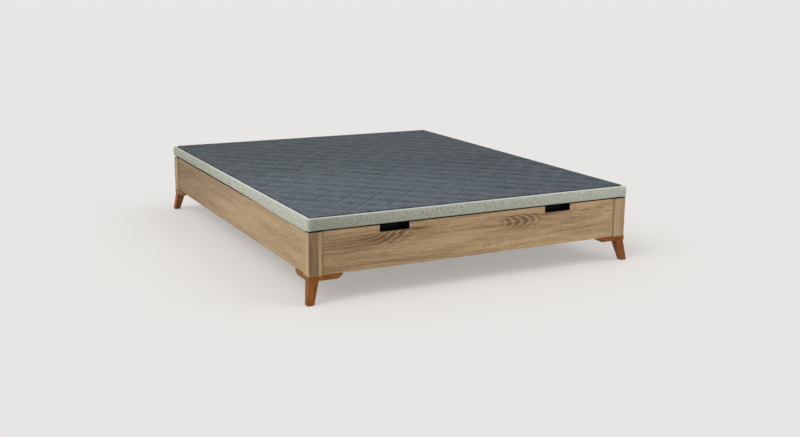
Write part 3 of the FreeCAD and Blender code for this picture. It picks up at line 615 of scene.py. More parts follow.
@dataclass(frozen=True)
class QuiltCloth(Finish):
    """Dark blue grey woven cover of the quilted pads, with painted light and painted shade on the slopes beside its
    seams.

    The seams of one slant look level in the photograph, and the others steep. A hump is the rise and the fall of a
    shade, in shares of the way from one seam to the next, or in metres beside the split between the lid's halves.
    A reach is the stretch along or across the bed over which a shade comes in.
    """

    pitch: float
    seam_shift: tuple[float, float]
    light: Colour = srgb(101, 110, 118)
    dark: Colour = srgb(58, 66, 73)
    # Colour of the painted shade in the seams' valleys.
    seam: Colour = srgb(36, 41, 46)
    glint: Colour = srgb(160, 168, 174)
    # Painted shade with a green cast, towards the head end.
    far: Colour = srgb(46, 54, 47)
    threads: float = 620.0
    level_wave: float = 0.22
    # Humps of painted shade and painted light on the slopes beside the seams.
    level_dull: Hump = ((0.0, 0.06), (0.08, 0.38))
    level_dull_depth: float = 0.20
    level_lit: Hump = ((0.55, 0.88), (0.93, 1.0))
    level_lit_depth: float = 0.14
    level_line: Band = (0.0010, 0.0070)
    level_line_share: float = 0.30
    steep_dull: Hump = ((0.78, 0.92), (0.97, 1.0))
    steep_line: Band = (0.0010, 0.0085)
    dull_reach: Band = (-0.15, 0.40)
    glint_edge: Hump = ((0.016, 0.030), (0.034, 0.056))
    glint_reach: Band = (-0.20, 0.45)
    # Painted highlight on the foot half's edge before the split, and painted shadow on the head half just past it.
    split_highlight: Hump = ((-0.070, -0.010), (-0.001, 0.001))
    split_shadow: Hump = ((-0.001, 0.001), (0.03, 0.16))
    split_shade_depth: float = 0.10
    # Painted shade on the foot half that grows towards the right, for the light falling off there.
    right_reach: Band = (-0.55, 0.75)
    far_reach: Band = (-0.60, 0.45)
    far_lean: float = 0.25
    far_share: float = 0.43
    lit_slope: Hump = ((0.05, 0.13), (0.15, 0.36))
    lit_depth: float = 0.040
    dull_slope: float = 0.0
    dull_fade: float = 0.30
    dull_lines: float = 1.15
    glint_lines: float = 0.36
    right_shade: float = 0.33
    grain: float = 0.72

    def _turns(self, surface: Surface, place: Signal, shift: float) -> Signal:
        """How far a place lies past the last seam of one slant, from 0 to 1 at the next."""
        return surface.math("FRACT", (place + (self.pitch * 20 - shift)) / self.pitch)

    def _line(self, surface: Surface, turns: Signal, edge: Band) -> Signal:
        """A line along the seams of one slant, that fades over a band of distances from them."""
        return 1.0 - surface.step(surface.math("PINGPONG", turns, 0.5) * self.pitch, *edge)

    def _slopes(self, surface: Surface, seams: Seams) -> Signal:
        """Paint shade and light on the slopes beside the seams, a shade that grows towards the right, and a
        highlight before the split.

        Args:
            surface: The surface that is painted.
            seams: The seams.

        Returns:
            The added painted shade, negative where it paints light.
        """
        # Painted shade on the near slope just past each level seam, and painted light on the far slope before the
        # next.
        wave = (surface.noise(surface.place, scale=6.0) - 0.5) * self.level_wave
        wavy = surface.math("FRACT", seams.level + 1.0 + wave)
        shade = surface.hump(wavy, *self.level_dull) * (seams.pull * 0.8 + 0.6) * self.level_dull_depth
        shade = shade - surface.hump(wavy, *self.level_lit) * self.level_lit_depth
        # Painted shade that grows towards the right, for the light falling off there.
        shade = shade + surface.step(surface.x, *self.right_reach) * self.right_shade
        # Painted light and painted shade on the slopes beside the steep seams.
        shade = shade - surface.hump(seams.steep, *self.lit_slope) * self.lit_depth
        shade = shade + surface.hump(seams.steep, *self.steep_dull) * self.dull_slope
        # Painted highlight on the foot half's edge just before the split.
        return shade - surface.hump(surface.y, *self.split_highlight) * self.split_shade_depth

    def _sewn(self, surface: Surface, colour: Signal, seams: Seams) -> Signal:
        """Paint shade along the seams on the cloth, and highlights beside them.

        Args:
            surface: The surface that is painted.
            colour: The cloth's colour.
            seams: The seams.

        Returns:
            The colour with painted shade along the seams of both slants, and painted highlights just past the steep
            seams towards the right.
        """
        # Painted shade in the valley of each seam, deeper on the steep seams where the thread pulls harder, and
        # fading towards the right.
        line = self._line(surface, seams.level, self.level_line)
        colour = surface.blend(line * self.level_line_share, colour, self.seam)
        dull = self._line(surface, seams.steep, self.steep_line) * (seams.pull * 0.40 + 0.26)
        dull = dull * (1.0 - surface.step(surface.x, *self.dull_reach) * self.dull_fade) * self.dull_lines
        colour = surface.blend(dull, colour, self.seam)
        # Painted highlights, in patches, on the slope just past each steep seam, towards the right.
        bright = surface.hump(seams.steep, *self.glint_edge) * surface.step(surface.x, *self.glint_reach)
        bright = bright * surface.step(surface.noise(surface.place, scale=4.0), 0.42, 0.56)
        return surface.blend(bright * self.glint_lines, colour, self.glint)

    def paint(self, surface: Surface) -> Sockets:
        """Paint the cloth: crossed threads, a soft melange, uneven seams with painted light and shade, and painted
        shade with a green cast towards the head end.

        Args:
            surface: The surface that is painted.

        Returns:
            The shader's sockets, with seams where the cover is sewn.
        """
        weave = surface.weave(surface.x, surface.y, self.threads)
        melange = surface.noise(surface.place, scale=420.0)
        slubs = surface.drawn(surface.axes, (24.0, 300.0, 40.0))
        clouds = surface.noise(surface.place, scale=14.0, detail=3.0)
        rising, falling = surface.x + surface.y, surface.x - surface.y
        level, steep = (self._turns(surface, way, shift) for way, shift in zip((rising, falling), self.seam_shift))
        seams = Seams(level, steep, surface.step(surface.noise(surface.place, scale=7.0), 0.36, 0.64))
        # Folds: darker and lighter streaks that stand in for the shade of small wrinkles, so painted shade and
        # light.
        folds = surface.drawn((rising, falling, surface.y), (32.0, 12.0, 3.0), detail=4.0, roughness=0.6)
        tufts = surface.drawn(surface.axes, (95.0, 30.0, 30.0), detail=3.0, roughness=0.6)
        shade = melange * 0.65 + slubs * 0.55 + clouds * 0.35 + weave * 0.08 - 0.44
        shade = shade + ((folds - 0.5) * 1.6 + (tufts - 0.5) * 1.6) * self.grain
        shade = shade + self._slopes(surface, seams)
        colour = surface.blend(shade, self.light, self.dark)
        colour = self._sewn(surface, colour, seams)
        # Painted shade with a green cast, growing towards the head end and a little towards the right.
        far = surface.step(surface.y + surface.x * self.far_lean, *self.far_reach) * self.far_share
        # Painted shadow on the head half just past the split.
        split_shade = surface.hump(surface.y, *self.split_shadow) * self.split_shade_depth
        colour = surface.blend(far + split_shade, colour, self.far)
        height = weave * 0.5 + slubs * 0.6 + melange * 0.4
        return {
            "Base Color": colour, "Roughness": melange * 0.12 + 0.80, "Specular IOR Level": 0.12,
            "Sheen Weight": 0.05, "Sheen Roughness": 0.5,
            "Normal": surface.bump(height, distance=0.0006, strength=0.5),
        }


@dataclass(frozen=True)
class Tweed(Finish):
    """Pale grey green tweed of the lid border, with darker flecks."""

    ground: Colour = srgb(187, 190, 175)
    fleck: Colour = srgb(104, 106, 90)
    pale: Colour = srgb(222, 225, 213)
    wear_and_highlight: Colour = srgb(230, 233, 228)
    rear_shade: Colour = srgb(104, 108, 76)
    shade: Colour = srgb(32, 32, 25)
    left_face: Band = (-0.8005, -0.7900)
    front_face: Band = (-1.0005, -0.9900)
    back_reach: Band = (-0.30, 0.70)
    lip_shadow_reach: Band = (-0.60, 0.10)
    crest: Band = (0.3530, 0.3572)
    crest_highlight_share: float = 0.6
    crest_highlight_fade: float = 0.42
    lip_shadow: Band = (0.3085, 0.3125)
    lip_shadow_share: float = 0.85
    rear_shade_share: float = 0.34
    front_falloff_shade: tuple[tuple[Band, float], ...] = (((0.40, -0.85), 0.30), ((-0.30, -0.80), 0.14))
    front_light_reach: Band = (0.15, 0.85)
    front_painted_light: float = 0.20
    side_painted_light: float = 0.30
    threads: float = 420.0

    def paint(self, surface: Surface) -> Sockets:
        """Paint the tweed: coarse crossed threads in three shades, with a painted highlight along the rolled top and
        painted light and shade on its faces.

        Args:
            surface: The surface that is painted.

        Returns:
            The shader's sockets.
        """
        weave = surface.weave(surface.x + surface.y, surface.z, self.threads)
        coarse = surface.noise(surface.place, scale=190.0)
        fine = surface.noise(surface.place, scale=420.0)
        side = 1.0 - surface.step(surface.x, *self.left_face)
        front = 1.0 - surface.step(surface.y, *self.front_face)
        back = surface.step(surface.y, *self.back_reach)
        # The dark flecks are stronger on the left face, painted shade of the weave where the light grazes it.
        darks = surface.step(coarse * 0.6 + fine * 0.4, 0.47, 0.64) * (side * 0.8 + 1.0)
        lights = surface.step(surface.noise(surface.place, scale=330.0, detail=1.0), 0.56, 0.70)
        colour = surface.blend(darks * 0.75, self.ground, self.fleck)
        colour = surface.blend(lights * 0.55, colour, self.pale)
        # Painted shade: the front face darker towards the left.
        broad, narrow = (surface.step(surface.x, *reach) * share for reach, share in self.front_falloff_shade)
        colour = surface.blend(front * (broad + narrow), colour, self.fleck)
        # Painted light: the front face lighter towards the right, and the left face lighter all over.
        pale = front * surface.step(surface.x, *self.front_light_reach) * self.front_painted_light + side * self.side_painted_light
        colour = surface.blend(pale, colour, self.pale)
        # Painted shade with a green cast on the rear part of the left face.
        colour = surface.blend(side * back * self.rear_shade_share, colour, self.rear_shade)
        # Painted shadow under the lower lip of the left face, towards the rear.
        lip_shadowed = (1.0 - surface.step(surface.z, *self.lip_shadow)) * surface.step(surface.y, *self.lip_shadow_reach)
        colour = surface.blend(side * lip_shadowed * self.lip_shadow_share, colour, self.shade)
        # Painted highlight along the rolled top edge, weaker towards the rear.
        crest = surface.step(surface.z, *self.crest) * (self.crest_highlight_share - back * self.crest_highlight_fade)
        colour = surface.blend(crest, colour, self.wear_and_highlight)
        height = weave * 0.5 + fine + coarse * 0.6
        return {
            "Base Color": colour, "Roughness": fine * 0.1 + 0.84, "Specular IOR Level": 0.12,
            "Sheen Weight": 0.05, "Sheen Roughness": 0.6,
            "Normal": surface.bump(height, distance=0.0010, strength=0.6),
        }


@dataclass(frozen=True)
class Thread(Finish):
    """Sewing thread with a faint twist, and painted highlights on it near the edges of the lid."""

    colour: Colour = srgb(84, 93, 101)
    shade: Colour = srgb(56, 63, 70)
    glint: Colour = srgb(196, 203, 207)
    twist: float = 9000.0
    side_edge: Band = (0.50, 0.74)
    end_edge: Band = (0.74, 0.95)

    def paint(self, surface: Surface) -> Sockets:
        """Paint the thread.

        Args:
            surface: The surface that is painted.

        Returns:
            The shader's sockets, from narrow twisted bands.
        """
        bands = surface.math("SINE", (surface.x + surface.y * 0.6 + surface.z) * self.twist) * 0.5 + 0.5
        colour = surface.blend(bands * 0.6, self.colour, self.shade)
        side = surface.step(abs(surface.x), *self.side_edge)
        edge = surface.math("MAXIMUM", side, surface.step(abs(surface.y), *self.end_edge))
        # Painted highlights, in patches, on the thread near the edges of the lid.
        glinting = surface.step(surface.noise(surface.place, scale=9.0), 0.35, 0.6)
        colour = surface.blend(edge * glinting, colour, self.glint)
        return {"Base Color": colour, "Roughness": bands * 0.1 + 0.6, "Sheen Weight": 0.1}


@dataclass(frozen=True)
class Moulding(Finish):
    """Plastic, rubber, foam or paint with a fine grain and some handling marks."""

    colour: Colour
    wear_and_highlight: Colour
    roughness: float
    gloss: float = 0.5
    grain_size: float = 0.0008

    def paint(self, surface: Surface) -> Sockets:
        """Paint the moulding.

        Args:
            surface: The surface that is painted.

        Returns:
            The shader's sockets, from its grain and soft smears.
        """
        grain = surface.noise(surface.place, scale=1 / self.grain_size)
        smears = surface.noise(surface.place, scale=60.0, detail=3.0)
        colour = surface.blend(surface.step(smears, 0.45, 0.8) * 0.5, self.colour, self.wear_and_highlight)
        return {
            "Base Color": colour, "Roughness": smears * 0.15 + self.roughness, "Specular IOR Level": self.gloss,
            "Normal": surface.bump(grain, distance=0.0002, strength=0.4),
        }


@dataclass(frozen=True)
class PlatedSteel(Finish):
    """Bright or zinc plated steel with a fine brushing and cloudy patches."""

    light: Colour
    dark: Colour
    roughness: float

    def paint(self, surface: Surface) -> Sockets:
        """Paint the steel.

        Args:
            surface: The surface that is painted.

        Returns:
            The shader's sockets, from clouds and brush lines.
        """
        clouds = surface.noise(surface.place, scale=85.0, detail=4.0, roughness=0.65)
        brush = surface.drawn(surface.axes, (900.0, 60.0, 900.0))
        return {
            "Base Color": surface.blend(surface.step(clouds, 0.3, 0.7), self.light, self.dark), "Metallic": 1.0,
            "Roughness": clouds * 0.2 + brush * 0.1 + self.roughness,
            "Normal": surface.bump(brush, distance=0.0001, strength=0.3),
        }


# The dressed solids

@dataclass
class DressedSolids:
    """The rigid pieces of the bed, which keep their solids and get their finishes."""

    front_swirls: tuple[Spot, ...] = (
        Spot(-0.420, 0.250, 0.110, 0.038, 0.0, 0.6),
        Spot(0.620, 0.262, 0.160, 0.020, 2.2, 0.8),
    )
    front_sweeps: tuple[Sweep, ...] = (Sweep((-0.530, -0.330), (0.140, 0.300), 5.5),)
    front_arches: tuple[Arch, ...] = (Arch(Spot(0.215, 0.247, 0.120, 0.038)),)
    front_saw_marks: tuple[Spot, ...] = (
        Spot(0.080, 0.152, 0.200, 0.030, 0.55),
        Spot(-0.150, 0.250, 0.090, 0.026, 0.34),
        Spot(0.440, 0.165, 0.140, 0.034, 0.30),
    )
    # Spots on the front board. The wide ones near the left end are painted shade and the wide one near the right end
    # painted light, for the light falling off across the board; the thin lighter ones just under the top edge are
    # painted light where the lid casts its shadow; the rest are darker streaks of the wood and one long lighter
    # patch low down.
    front_stains_and_painted_light: tuple[Spot, ...] = (
        Spot(-0.297, 0.267, 0.075, 0.010, 0.50, 1.5),
        Spot(-0.520, 0.240, 0.160, 0.030, 0.10),
        Spot(-0.600, 0.200, 0.240, 0.110, 0.11),
        Spot(0.020, 0.240, 0.100, 0.016, 0.30),
        Spot(0.210, 0.246, 0.090, 0.030, 0.18),
        Spot(0.370, 0.262, 0.060, 0.009, 0.40),
        Spot(0.670, 0.276, 0.060, 0.008, 0.20),
        Spot(0.230, 0.292, 0.260, 0.014, -0.30),
        Spot(0.620, 0.292, 0.160, 0.012, -0.24),
        Spot(-0.640, 0.288, 0.100, 0.020, -0.16),
        Spot(0.100, 0.150, 0.400, 0.030, -0.14),
        Spot(0.680, 0.200, 0.220, 0.150, -0.14),
    )
    side_swirls: tuple[Spot, ...] = (
        Spot(-0.520, 0.220, 0.240, 0.022, 2.0, 1.2),
        Spot(0.380, 0.236, 0.200, 0.020, 2.4, -1.0),
    )
    side_saw_marks: tuple[Spot, ...] = (Spot(-0.150, 0.180, 0.260, 0.024, 0.4),)
    side_rail_x: float = 0.7775
    post_dark_face: Band = (-0.798, -0.757)
    post_rings: float = 95.0
    post_seed: float = 2.7
    # The rear left post's darker tone is painted shade, as at the left board's head end.
    post_shifts: dict[str, float] = field(default_factory=lambda: {
        "front_left": -0.10, "front_right": 0.0, "rear_left": 0.26, "rear_right": 0.05,
    })

    def _oak(self) -> dict[str, OakDecor]:
        """Choose the oak of the boards and posts, each with its own grain.

        Returns:
            The finishes by node.
        """
        oak = {
            # The front board's end shade is painted shade, darker towards its left end; the left board's, towards
            # the head end.
            "front_board": OakDecor(
                "oak front board", Grain.ACROSS, seed=3.1, painted_end_shade=(0.1, -0.75, 0.17), swirls=self.front_swirls,
                sweeps=self.front_sweeps, arches=self.front_arches, stains_and_painted_light=self.front_stains_and_painted_light,
                saw_marks=self.front_saw_marks, light=srgb(197, 167, 126), dark=srgb(105, 75, 44)),
            "rear_board": OakDecor(
                "oak rear board", Grain.ACROSS, seed=11.7, swirls=self.front_swirls[1:],
                saw_marks=self.front_saw_marks[1:]),
            "left_board": OakDecor(
                "oak left board", Grain.LENGTHWISE, seed=5.3, painted_end_shade=(-0.25, 0.80, 0.42), contrast=0.60,
                swirls=self.side_swirls, saw_marks=self.side_saw_marks),
            "right_board": OakDecor(
                "oak right board", Grain.LENGTHWISE, seed=17.9, swirls=self.side_swirls[::-1],
                saw_marks=self.side_saw_marks),
        }
        for number, (corner, shift) in enumerate(self.post_shifts.items()):
            oak["post_" + corner] = OakDecor(
                "oak post " + corner.replace("_", " "), Grain.UPRIGHT, ring_density=self.post_rings,
                seed=self.post_seed * number, tone_shift=shift,
                dark_face=self.post_dark_face if corner == "front_left" else None)
        return oak

    def _groups(self) -> tuple[tuple[Finish, tuple[str, ...]], ...]:
        """Choose the finishes of the other solids.

        Returns:
            Each finish with the starts of its nodes' names. The first that fits a node holds.
        """
        return (
            (StainedWood("stained bracket", Grain.LEVEL), ("leg_bracket_",)),
            (Moulding("glide plastic", srgb(58, 48, 40), srgb(84, 72, 60), 0.5), ("leg_glides",)),
            (PlatedSteel("zinc fixings", srgb(196, 197, 198), srgb(150, 153, 158), 0.26), (
                "leg_bolts", "bracket_screws", "ledge_screws", "corner_screws", "hinge_screws", "hinge_pins",
                "hinge_washers", "strut_base_studs", "strut_lid_studs", "lid_arm_bolts", "joining_bolts")),
            (StainedWood("stained leg", Grain.UPRIGHT), ("leg_",)),
            (PlatedSteel("zinc plate", srgb(184, 187, 190), srgb(136, 140, 146), 0.32), (
                "hinge_plate_", "lid_arm_", "corner_angles")),
            (Softwood("softwood across", Grain.ACROSS), ("ledge_front", "ledge_rear")),
            (Softwood("softwood lengthwise", Grain.LENGTHWISE), ("ledge_", "floor_spine")),
            (Softwood("softwood upright", Grain.UPRIGHT), ("centre_leg_",)),
            (Softwood("softwood lid frame", Grain.ACROSS, turn_beyond=self.side_rail_x), ("lid_frame_",)),
            (Fibreboard("panel board"), ("floor_panel_", "lid_board_")),
            (Moulding("black cup", srgb(4, 4, 4), srgb(8, 8, 8), 0.6, 0.2), ("finger_cup_",)),
            (Moulding("rubber", srgb(24, 24, 25), srgb(40, 40, 41), 0.7), ("lid_bumpers",)),
            (Moulding("black paint", srgb(16, 16, 17), srgb(30, 30, 32), 0.28), ("strut_cylinder_",)),
            (PlatedSteel("rod chrome", srgb(226, 227, 228), srgb(206, 208, 212), 0.05), ("strut_rod_",)),
        )

    def dress(self) -> None:
        """Build every finish and assign it to its solids."""
        chosen = {node: finish.material() for node, finish in self._oak().items()}
        for finish, starts in self._groups():
            material = finish.material()
            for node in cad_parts:
                if node.startswith(starts):
                    chosen.setdefault(node, material)
        for node, material in chosen.items():
            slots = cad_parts[node].data.materials
            slots.clear()
            slots.append(material)
            LOG.info("%s: %s", node, material.name)


# Meshes and pieces

def add_object(name: str, data: bpy.types.ID) -> bpy.types.Object:
    """Put a mesh, lamp or camera into the scene.

    Args:
        name: The object's name.
        data: What it shows.

    Returns:
        The new object at the origin.
    """
    made = bpy.data.objects.new(name, data)
    bpy.context.scene.collection.objects.link(made)
    return made


def new_mesh(name: str, points: list, faces: list, edges: Sequence = ()) -> bpy.types.Mesh:
    """Make a mesh.

    Args:
        name: The mesh's name.
        points: The places of its points.
        faces: The point numbers of each face.
        edges: The two point numbers of each loose edge.

    Returns:
        The new mesh.
    """
    mesh = bpy.data.meshes.new(name)
    mesh.from_pydata(points, edges, faces)
    return mesh


def open_mesh(mesh: bpy.types.Mesh) -> bmesh.types.BMesh:
    """Open a mesh for editing.

    Args:
        mesh: The mesh.

    Returns:
        An editable copy.
    """
    work = bmesh.new()
    work.from_mesh(mesh)
    return work


def close_mesh(work: bmesh.types.BMesh, mesh: bpy.types.Mesh) -> None:
    """Turn the faces of an editable copy outwards and put it back.

    Args:
        work: The editable copy.
        mesh: The mesh that it came from.
    """
    bmesh.ops.recalc_face_normals(work, faces=work.faces)
    work.to_mesh(mesh)
    work.free()


def mesh_points(mesh: bpy.types.Mesh) -> np.ndarray:
    """Read a mesh's points.

    Args:
        mesh: The mesh.

    Returns:
        One row for each point.
    """
    points = np.empty(len(mesh.vertices) * 3)
    mesh.vertices.foreach_get("co", points)
    return points.reshape(-1, 3)


def evaluated_mesh(piece: bpy.types.Object) -> bpy.types.Mesh:
    """A plain copy of a piece's mesh with its modifiers worked out."""
    depsgraph = bpy.context.evaluated_depsgraph_get()
    return bpy.data.meshes.new_from_object(piece.evaluated_get(depsgraph))


def new_piece(name: str, mesh: bpy.types.Mesh, material: bpy.types.Material) -> bpy.types.Object:
    """Add a smooth shaded piece to the scene.

    Args:
        name: The piece's name.
        mesh: Its mesh, in place.
        material: Its only material.

    Returns:
        The new object at the origin.
    """
    mesh.name = name
    mesh.materials.clear()
    mesh.materials.append(material)
    mesh.polygons.foreach_set("use_smooth", [True] * len(mesh.polygons))
    LOG.info("%s: %d faces", name, len(mesh.polygons))
    return add_object(name, mesh)


class Grower(Graph):
    """A Geometry Nodes tree that grows a piece on straight runs, with its sizes and material as inputs."""

    def __init__(self, name: str, *sizes: str) -> None:
        """Start the tree.

        Args:
            name: The tree's name.
            sizes: The names of its sizes.
        """
        super().__init__(bpy.data.node_groups.new(name, "GeometryNodeTree"))
        kinds = {"Runs": "Geometry", **dict.fromkeys(sizes, "Float"), "Material": "Material"}
        for label, kind in kinds.items():
            self.tree.interface.new_socket(label, in_out="INPUT", socket_type="NodeSocket" + kind)
        self.tree.interface.new_socket("Piece", in_out="OUTPUT", socket_type="NodeSocketGeometry")
        self.given = dict(zip(kinds, self.node("NodeGroupInput").outputs(*kinds)))
        self.curve = self.node("GeometryNodeMeshToCurve", {}, {"Mesh": self.given["Runs"]})

    def grow(self, name: str, shape: Signal, runs: list[Run], sizes: dict[str, float],
             material: bpy.types.Material) -> bpy.types.Object:
        """Close the tree, run it and keep its result as a plain mesh. The tree is removed.

        Args:
            name: The piece's name.
            shape: The tree's shape.
            runs: The two ends of each run.
            sizes: The tree's sizes by name.
            material: The piece's material.

        Returns:
            The new piece.
        """
        solid = self.node("GeometryNodeRealizeInstances", {}, {"Geometry": shape})
        dressed = self.node("GeometryNodeSetMaterial", {}, {"Geometry": solid, "Material": self.given["Material"]})
        self.node("NodeGroupOutput", {}, {"Piece": dressed})
        points = [point for run in runs for point in run]
        mesh = new_mesh(name, points, [], [(2 * number, 2 * number + 1) for number in range(len(runs))])
        guide = add_object(name + " runs", mesh)
        modifier = guide.modifiers.new("Grow", "NODES")
        modifier.node_group = self.tree
        values = {**sizes, "Material": material}
        for item in self.tree.interface.items_tree:
            if item.name in values:
                modifier[item.identifier] = values[item.name]
        grown = evaluated_mesh(guide)
        bpy.data.objects.remove(guide)
        bpy.data.meshes.remove(mesh)
        bpy.data.node_groups.remove(self.tree)
        return new_piece(name, grown, material)


# Soft pieces

@dataclass
class QuiltSheet:
    """The sewn top cover of one lid half, puffed between its seams."""

    half: Half
    origin: tuple[float, float]
    pitch: float = 0.157
    cells: int = 9
    seam_depth: float = 0.0008
    seam_touch: float = 1e-5
    crown: float = 0.0042
    crown_reach: float = 0.016
    most_rise: float = 0.0065
    least_rise: float = 1e-9
    edge_inset: float = 0.0044
    edge_round: float = 0.0065
    edge_rise: float = 0.0074
    edge_reach: float = 0.014
    firm_reach: Band = (0.006, 0.034)
    edge_steps: tuple[float, ...] = (0.0, 0.0010, 0.0030, 0.0060)
    edge_margin: float = 0.0105
    fullness: float = 0.006
    pressure: float = 3.0
    frames: int = 20

    @property
    def seam_shift(self) -> tuple[float, float]:
        """Where the seams of each slant start, as X plus Y and X minus Y."""
        return self.origin[0] + self.origin[1], self.origin[0] - self.origin[1]

    def columns(self, low: float, high: float, origin: float) -> np.ndarray:
        """Grid places between two edges: on the seam crossings inside, and closer together at the edges.

        Args:
            low: The lower edge.
            high: The higher edge.
            origin: The place of one seam crossing.

        Returns:
            The places in rising order.
        """
        gap = self.pitch / (2 * self.cells)
        first = math.ceil((low + self.edge_margin - origin) / gap)
        last = math.floor((high - self.edge_margin - origin) / gap)
        inside = [origin + gap * step for step in range(first, last + 1)]
        edges = [low + step for step in self.edge_steps] + [high - step for step in self.edge_steps]
        return np.array(sorted(inside + edges))

    def seam_distances(self, x: np.ndarray, y: np.ndarray) -> tuple[np.ndarray, np.ndarray]:
        """Measure how far points lie from the seams.

        Args:
            x: The points' X.
            y: The points' Y.

        Returns:
            The distances to the nearest seam of each slant.
        """
        spacing = self.pitch * math.sqrt(0.5)
        rising = (x + y - self.seam_shift[0]) / self.pitch
        falling = (x - y - self.seam_shift[1]) / self.pitch
        return abs(rising - np.round(rising)) * spacing, abs(falling - np.round(falling)) * spacing

    def puff(self, x: np.ndarray, y: np.ndarray) -> np.ndarray:
        """The drawn rise of the cover between the seams."""
        first, second = self.seam_distances(x, y)
        return self.crown * (1 - np.exp(-first / self.crown_reach)) * (1 - np.exp(-second / self.crown_reach))

    def slack(self, gap: np.ndarray) -> np.ndarray:
        """Find how freely the cover puffs.

        Args:
            gap: The points' gaps to the nearest edge.

        Returns:
            0 on the firm border, 1 well inside.
        """
        start, end = self.firm_reach
        share = np.clip((gap - start) / (end - start), 0, 1)
        return share * share * (3 - 2 * share)

    def edge_drop(self, gap: np.ndarray) -> np.ndarray:
        """How far the rolled edge lies below the cover, by the gap to the nearest edge."""
        inside = np.clip(self.edge_round - gap, 0, self.edge_round)
        return self.edge_round - np.sqrt(self.edge_round ** 2 - inside ** 2)

    def simulate(self, sheet: bpy.types.Object, pinned: np.ndarray, flat: np.ndarray) -> np.ndarray:
        """Puff the cover with cloth that is held at its seams.

        Args:
            sheet: The cover, just risen from its seams.
            pinned: True for each point that a seam or an edge holds.
            flat: The points before the puff.

        Returns:
            The puffed points, none further from its place than the most that it may rise.
        """
        group = sheet.vertex_groups.new(name="sewn")
        group.add([int(index) for index in np.flatnonzero(pinned)], 1.0, "REPLACE")
        cloth = sheet.modifiers.new("Cloth", "CLOTH")
        settings = {
            "quality": 6, "mass": 0.25, "tension_stiffness": 12, "compression_stiffness": 12,
            "shear_stiffness": 4, "bending_stiffness": 0.15, "vertex_group_mass": group.name,
            "shrink_min": -self.fullness, "use_pressure": True, "uniform_pressure_force": self.pressure,
        }
        for key, value in settings.items():
            setattr(cloth.settings, key, value)
        cloth.settings.effector_weights.gravity = 0
        cloth.collision_settings.use_collision = False
        cloth.point_cache.frame_start = 1
        cloth.point_cache.frame_end = self.frames
        scene = bpy.context.scene
        for step in range(1, self.frames + 1):
            scene.frame_set(step)
        puffed = evaluated_mesh(sheet)
        move = mesh_points(puffed) - flat
        bpy.data.meshes.remove(puffed)
        sheet.modifiers.remove(cloth)
        scene.frame_set(1)
        length = np.maximum(np.linalg.norm(move, axis=1), self.least_rise)
        return flat + move * np.minimum(1, self.most_rise / length)[:, None]

    def build(self) -> tuple[np.ndarray, np.ndarray]:
        """Make the cover.

        Returns:
            The points of the smoothed cover and its four-sided faces.
        """
        low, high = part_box(self.half.pad)
        low = low + Vector((self.edge_inset, self.edge_inset if self.half is Half.FOOT else 0, 0))
        high = high - Vector((self.edge_inset, self.edge_inset if self.half is Half.HEAD else 0, 0))
        xs = self.columns(low.x, high.x, self.origin[0])
        ys = self.columns(low.y, high.y, self.origin[1])
        x, y = (grid.ravel() for grid in np.meshgrid(xs, ys))
        gap = np.minimum(np.minimum(x - low.x, high.x - x), np.minimum(y - low.y, high.y - y))
        rise = self.edge_rise * np.exp(-gap / self.edge_reach)
        flat = np.column_stack([x, y, high.z - self.seam_depth + rise])
        cover = flat.copy()
        cover[:, 2] += self.puff(x, y)
        wide = len(xs)
        corner = (np.arange(len(ys) - 1)[:, None] * wide + np.arange(wide - 1)).ravel()
        faces = np.column_stack([corner, corner + 1, corner + 1 + wide, corner + wide])
        mesh = new_mesh("quilt cover", cover.tolist(), faces.tolist())
        sheet = add_object("quilt cover", mesh)
        sewn = np.minimum(*self.seam_distances(x, y)) < self.seam_touch
        edge = (x == xs[0]) | (x == xs[-1]) | (y == ys[0]) | (y == ys[-1])
        cover = self.simulate(sheet, sewn | edge, flat)
        cover = flat + (cover - flat) * self.slack(gap)[:, None]
        cover[:, 2] -= self.edge_drop(gap)
        mesh.vertices.foreach_set("co", cover.ravel())
        mesh.update()
        smooth = sheet.modifiers.new("Smooth", "SUBSURF")
        smooth.levels = smooth.render_levels = 1
        fine = evaluated_mesh(sheet)
        points = mesh_points(fine)
        corners = np.empty(len(fine.polygons) * 4, dtype=np.int32)
        fine.polygons.foreach_get("vertices", corners)
        bpy.data.objects.remove(sheet)
        bpy.data.meshes.remove(mesh)
        bpy.data.meshes.remove(fine)
        return points, corners.reshape(-1, 4)


@dataclass
class StitchRows:
    """Short thread stitches along straight rows, as a node tree that repeats one stitch."""

    material: bpy.types.Material
    step: float = 0.0068
    length: float = 0.0046
    radius: float = 0.00055

    def sew(self, name: str, rows: list[Run]) -> bpy.types.Object:
        """Turn rows into stitches.

        Args:
            name: The piece's name.
            rows: The two ends of each row.

        Returns:
            The stitches as one plain piece.
        """
        sizes = {"Step": self.step, "Length": self.length, "Radius": self.radius}
        tree = Grower("stitch rows", *sizes)
        step, length, radius = (tree.given[size] for size in sizes)
        points = tree.node("GeometryNodeCurveToPoints", {"mode": "LENGTH"}, {"Curve": tree.curve, "Length": step})
        tangent = points.outputs("Tangent")[0]
        turn = tree.node("FunctionNodeAlignRotationToVector", {"axis": "Z"}, {"Vector": tangent})
        ball = tree.node("GeometryNodeMeshIcoSphere", {}, {"Radius": 1.0, "Subdivisions": 1})
        stitch = tree.node("GeometryNodeInstanceOnPoints", {}, {
            "Points": points, "Instance": ball, "Rotation": turn, "Scale": tree.join(radius, radius, length * 0.5),
        })
        return tree.grow(name, stitch, rows, sizes, self.material)


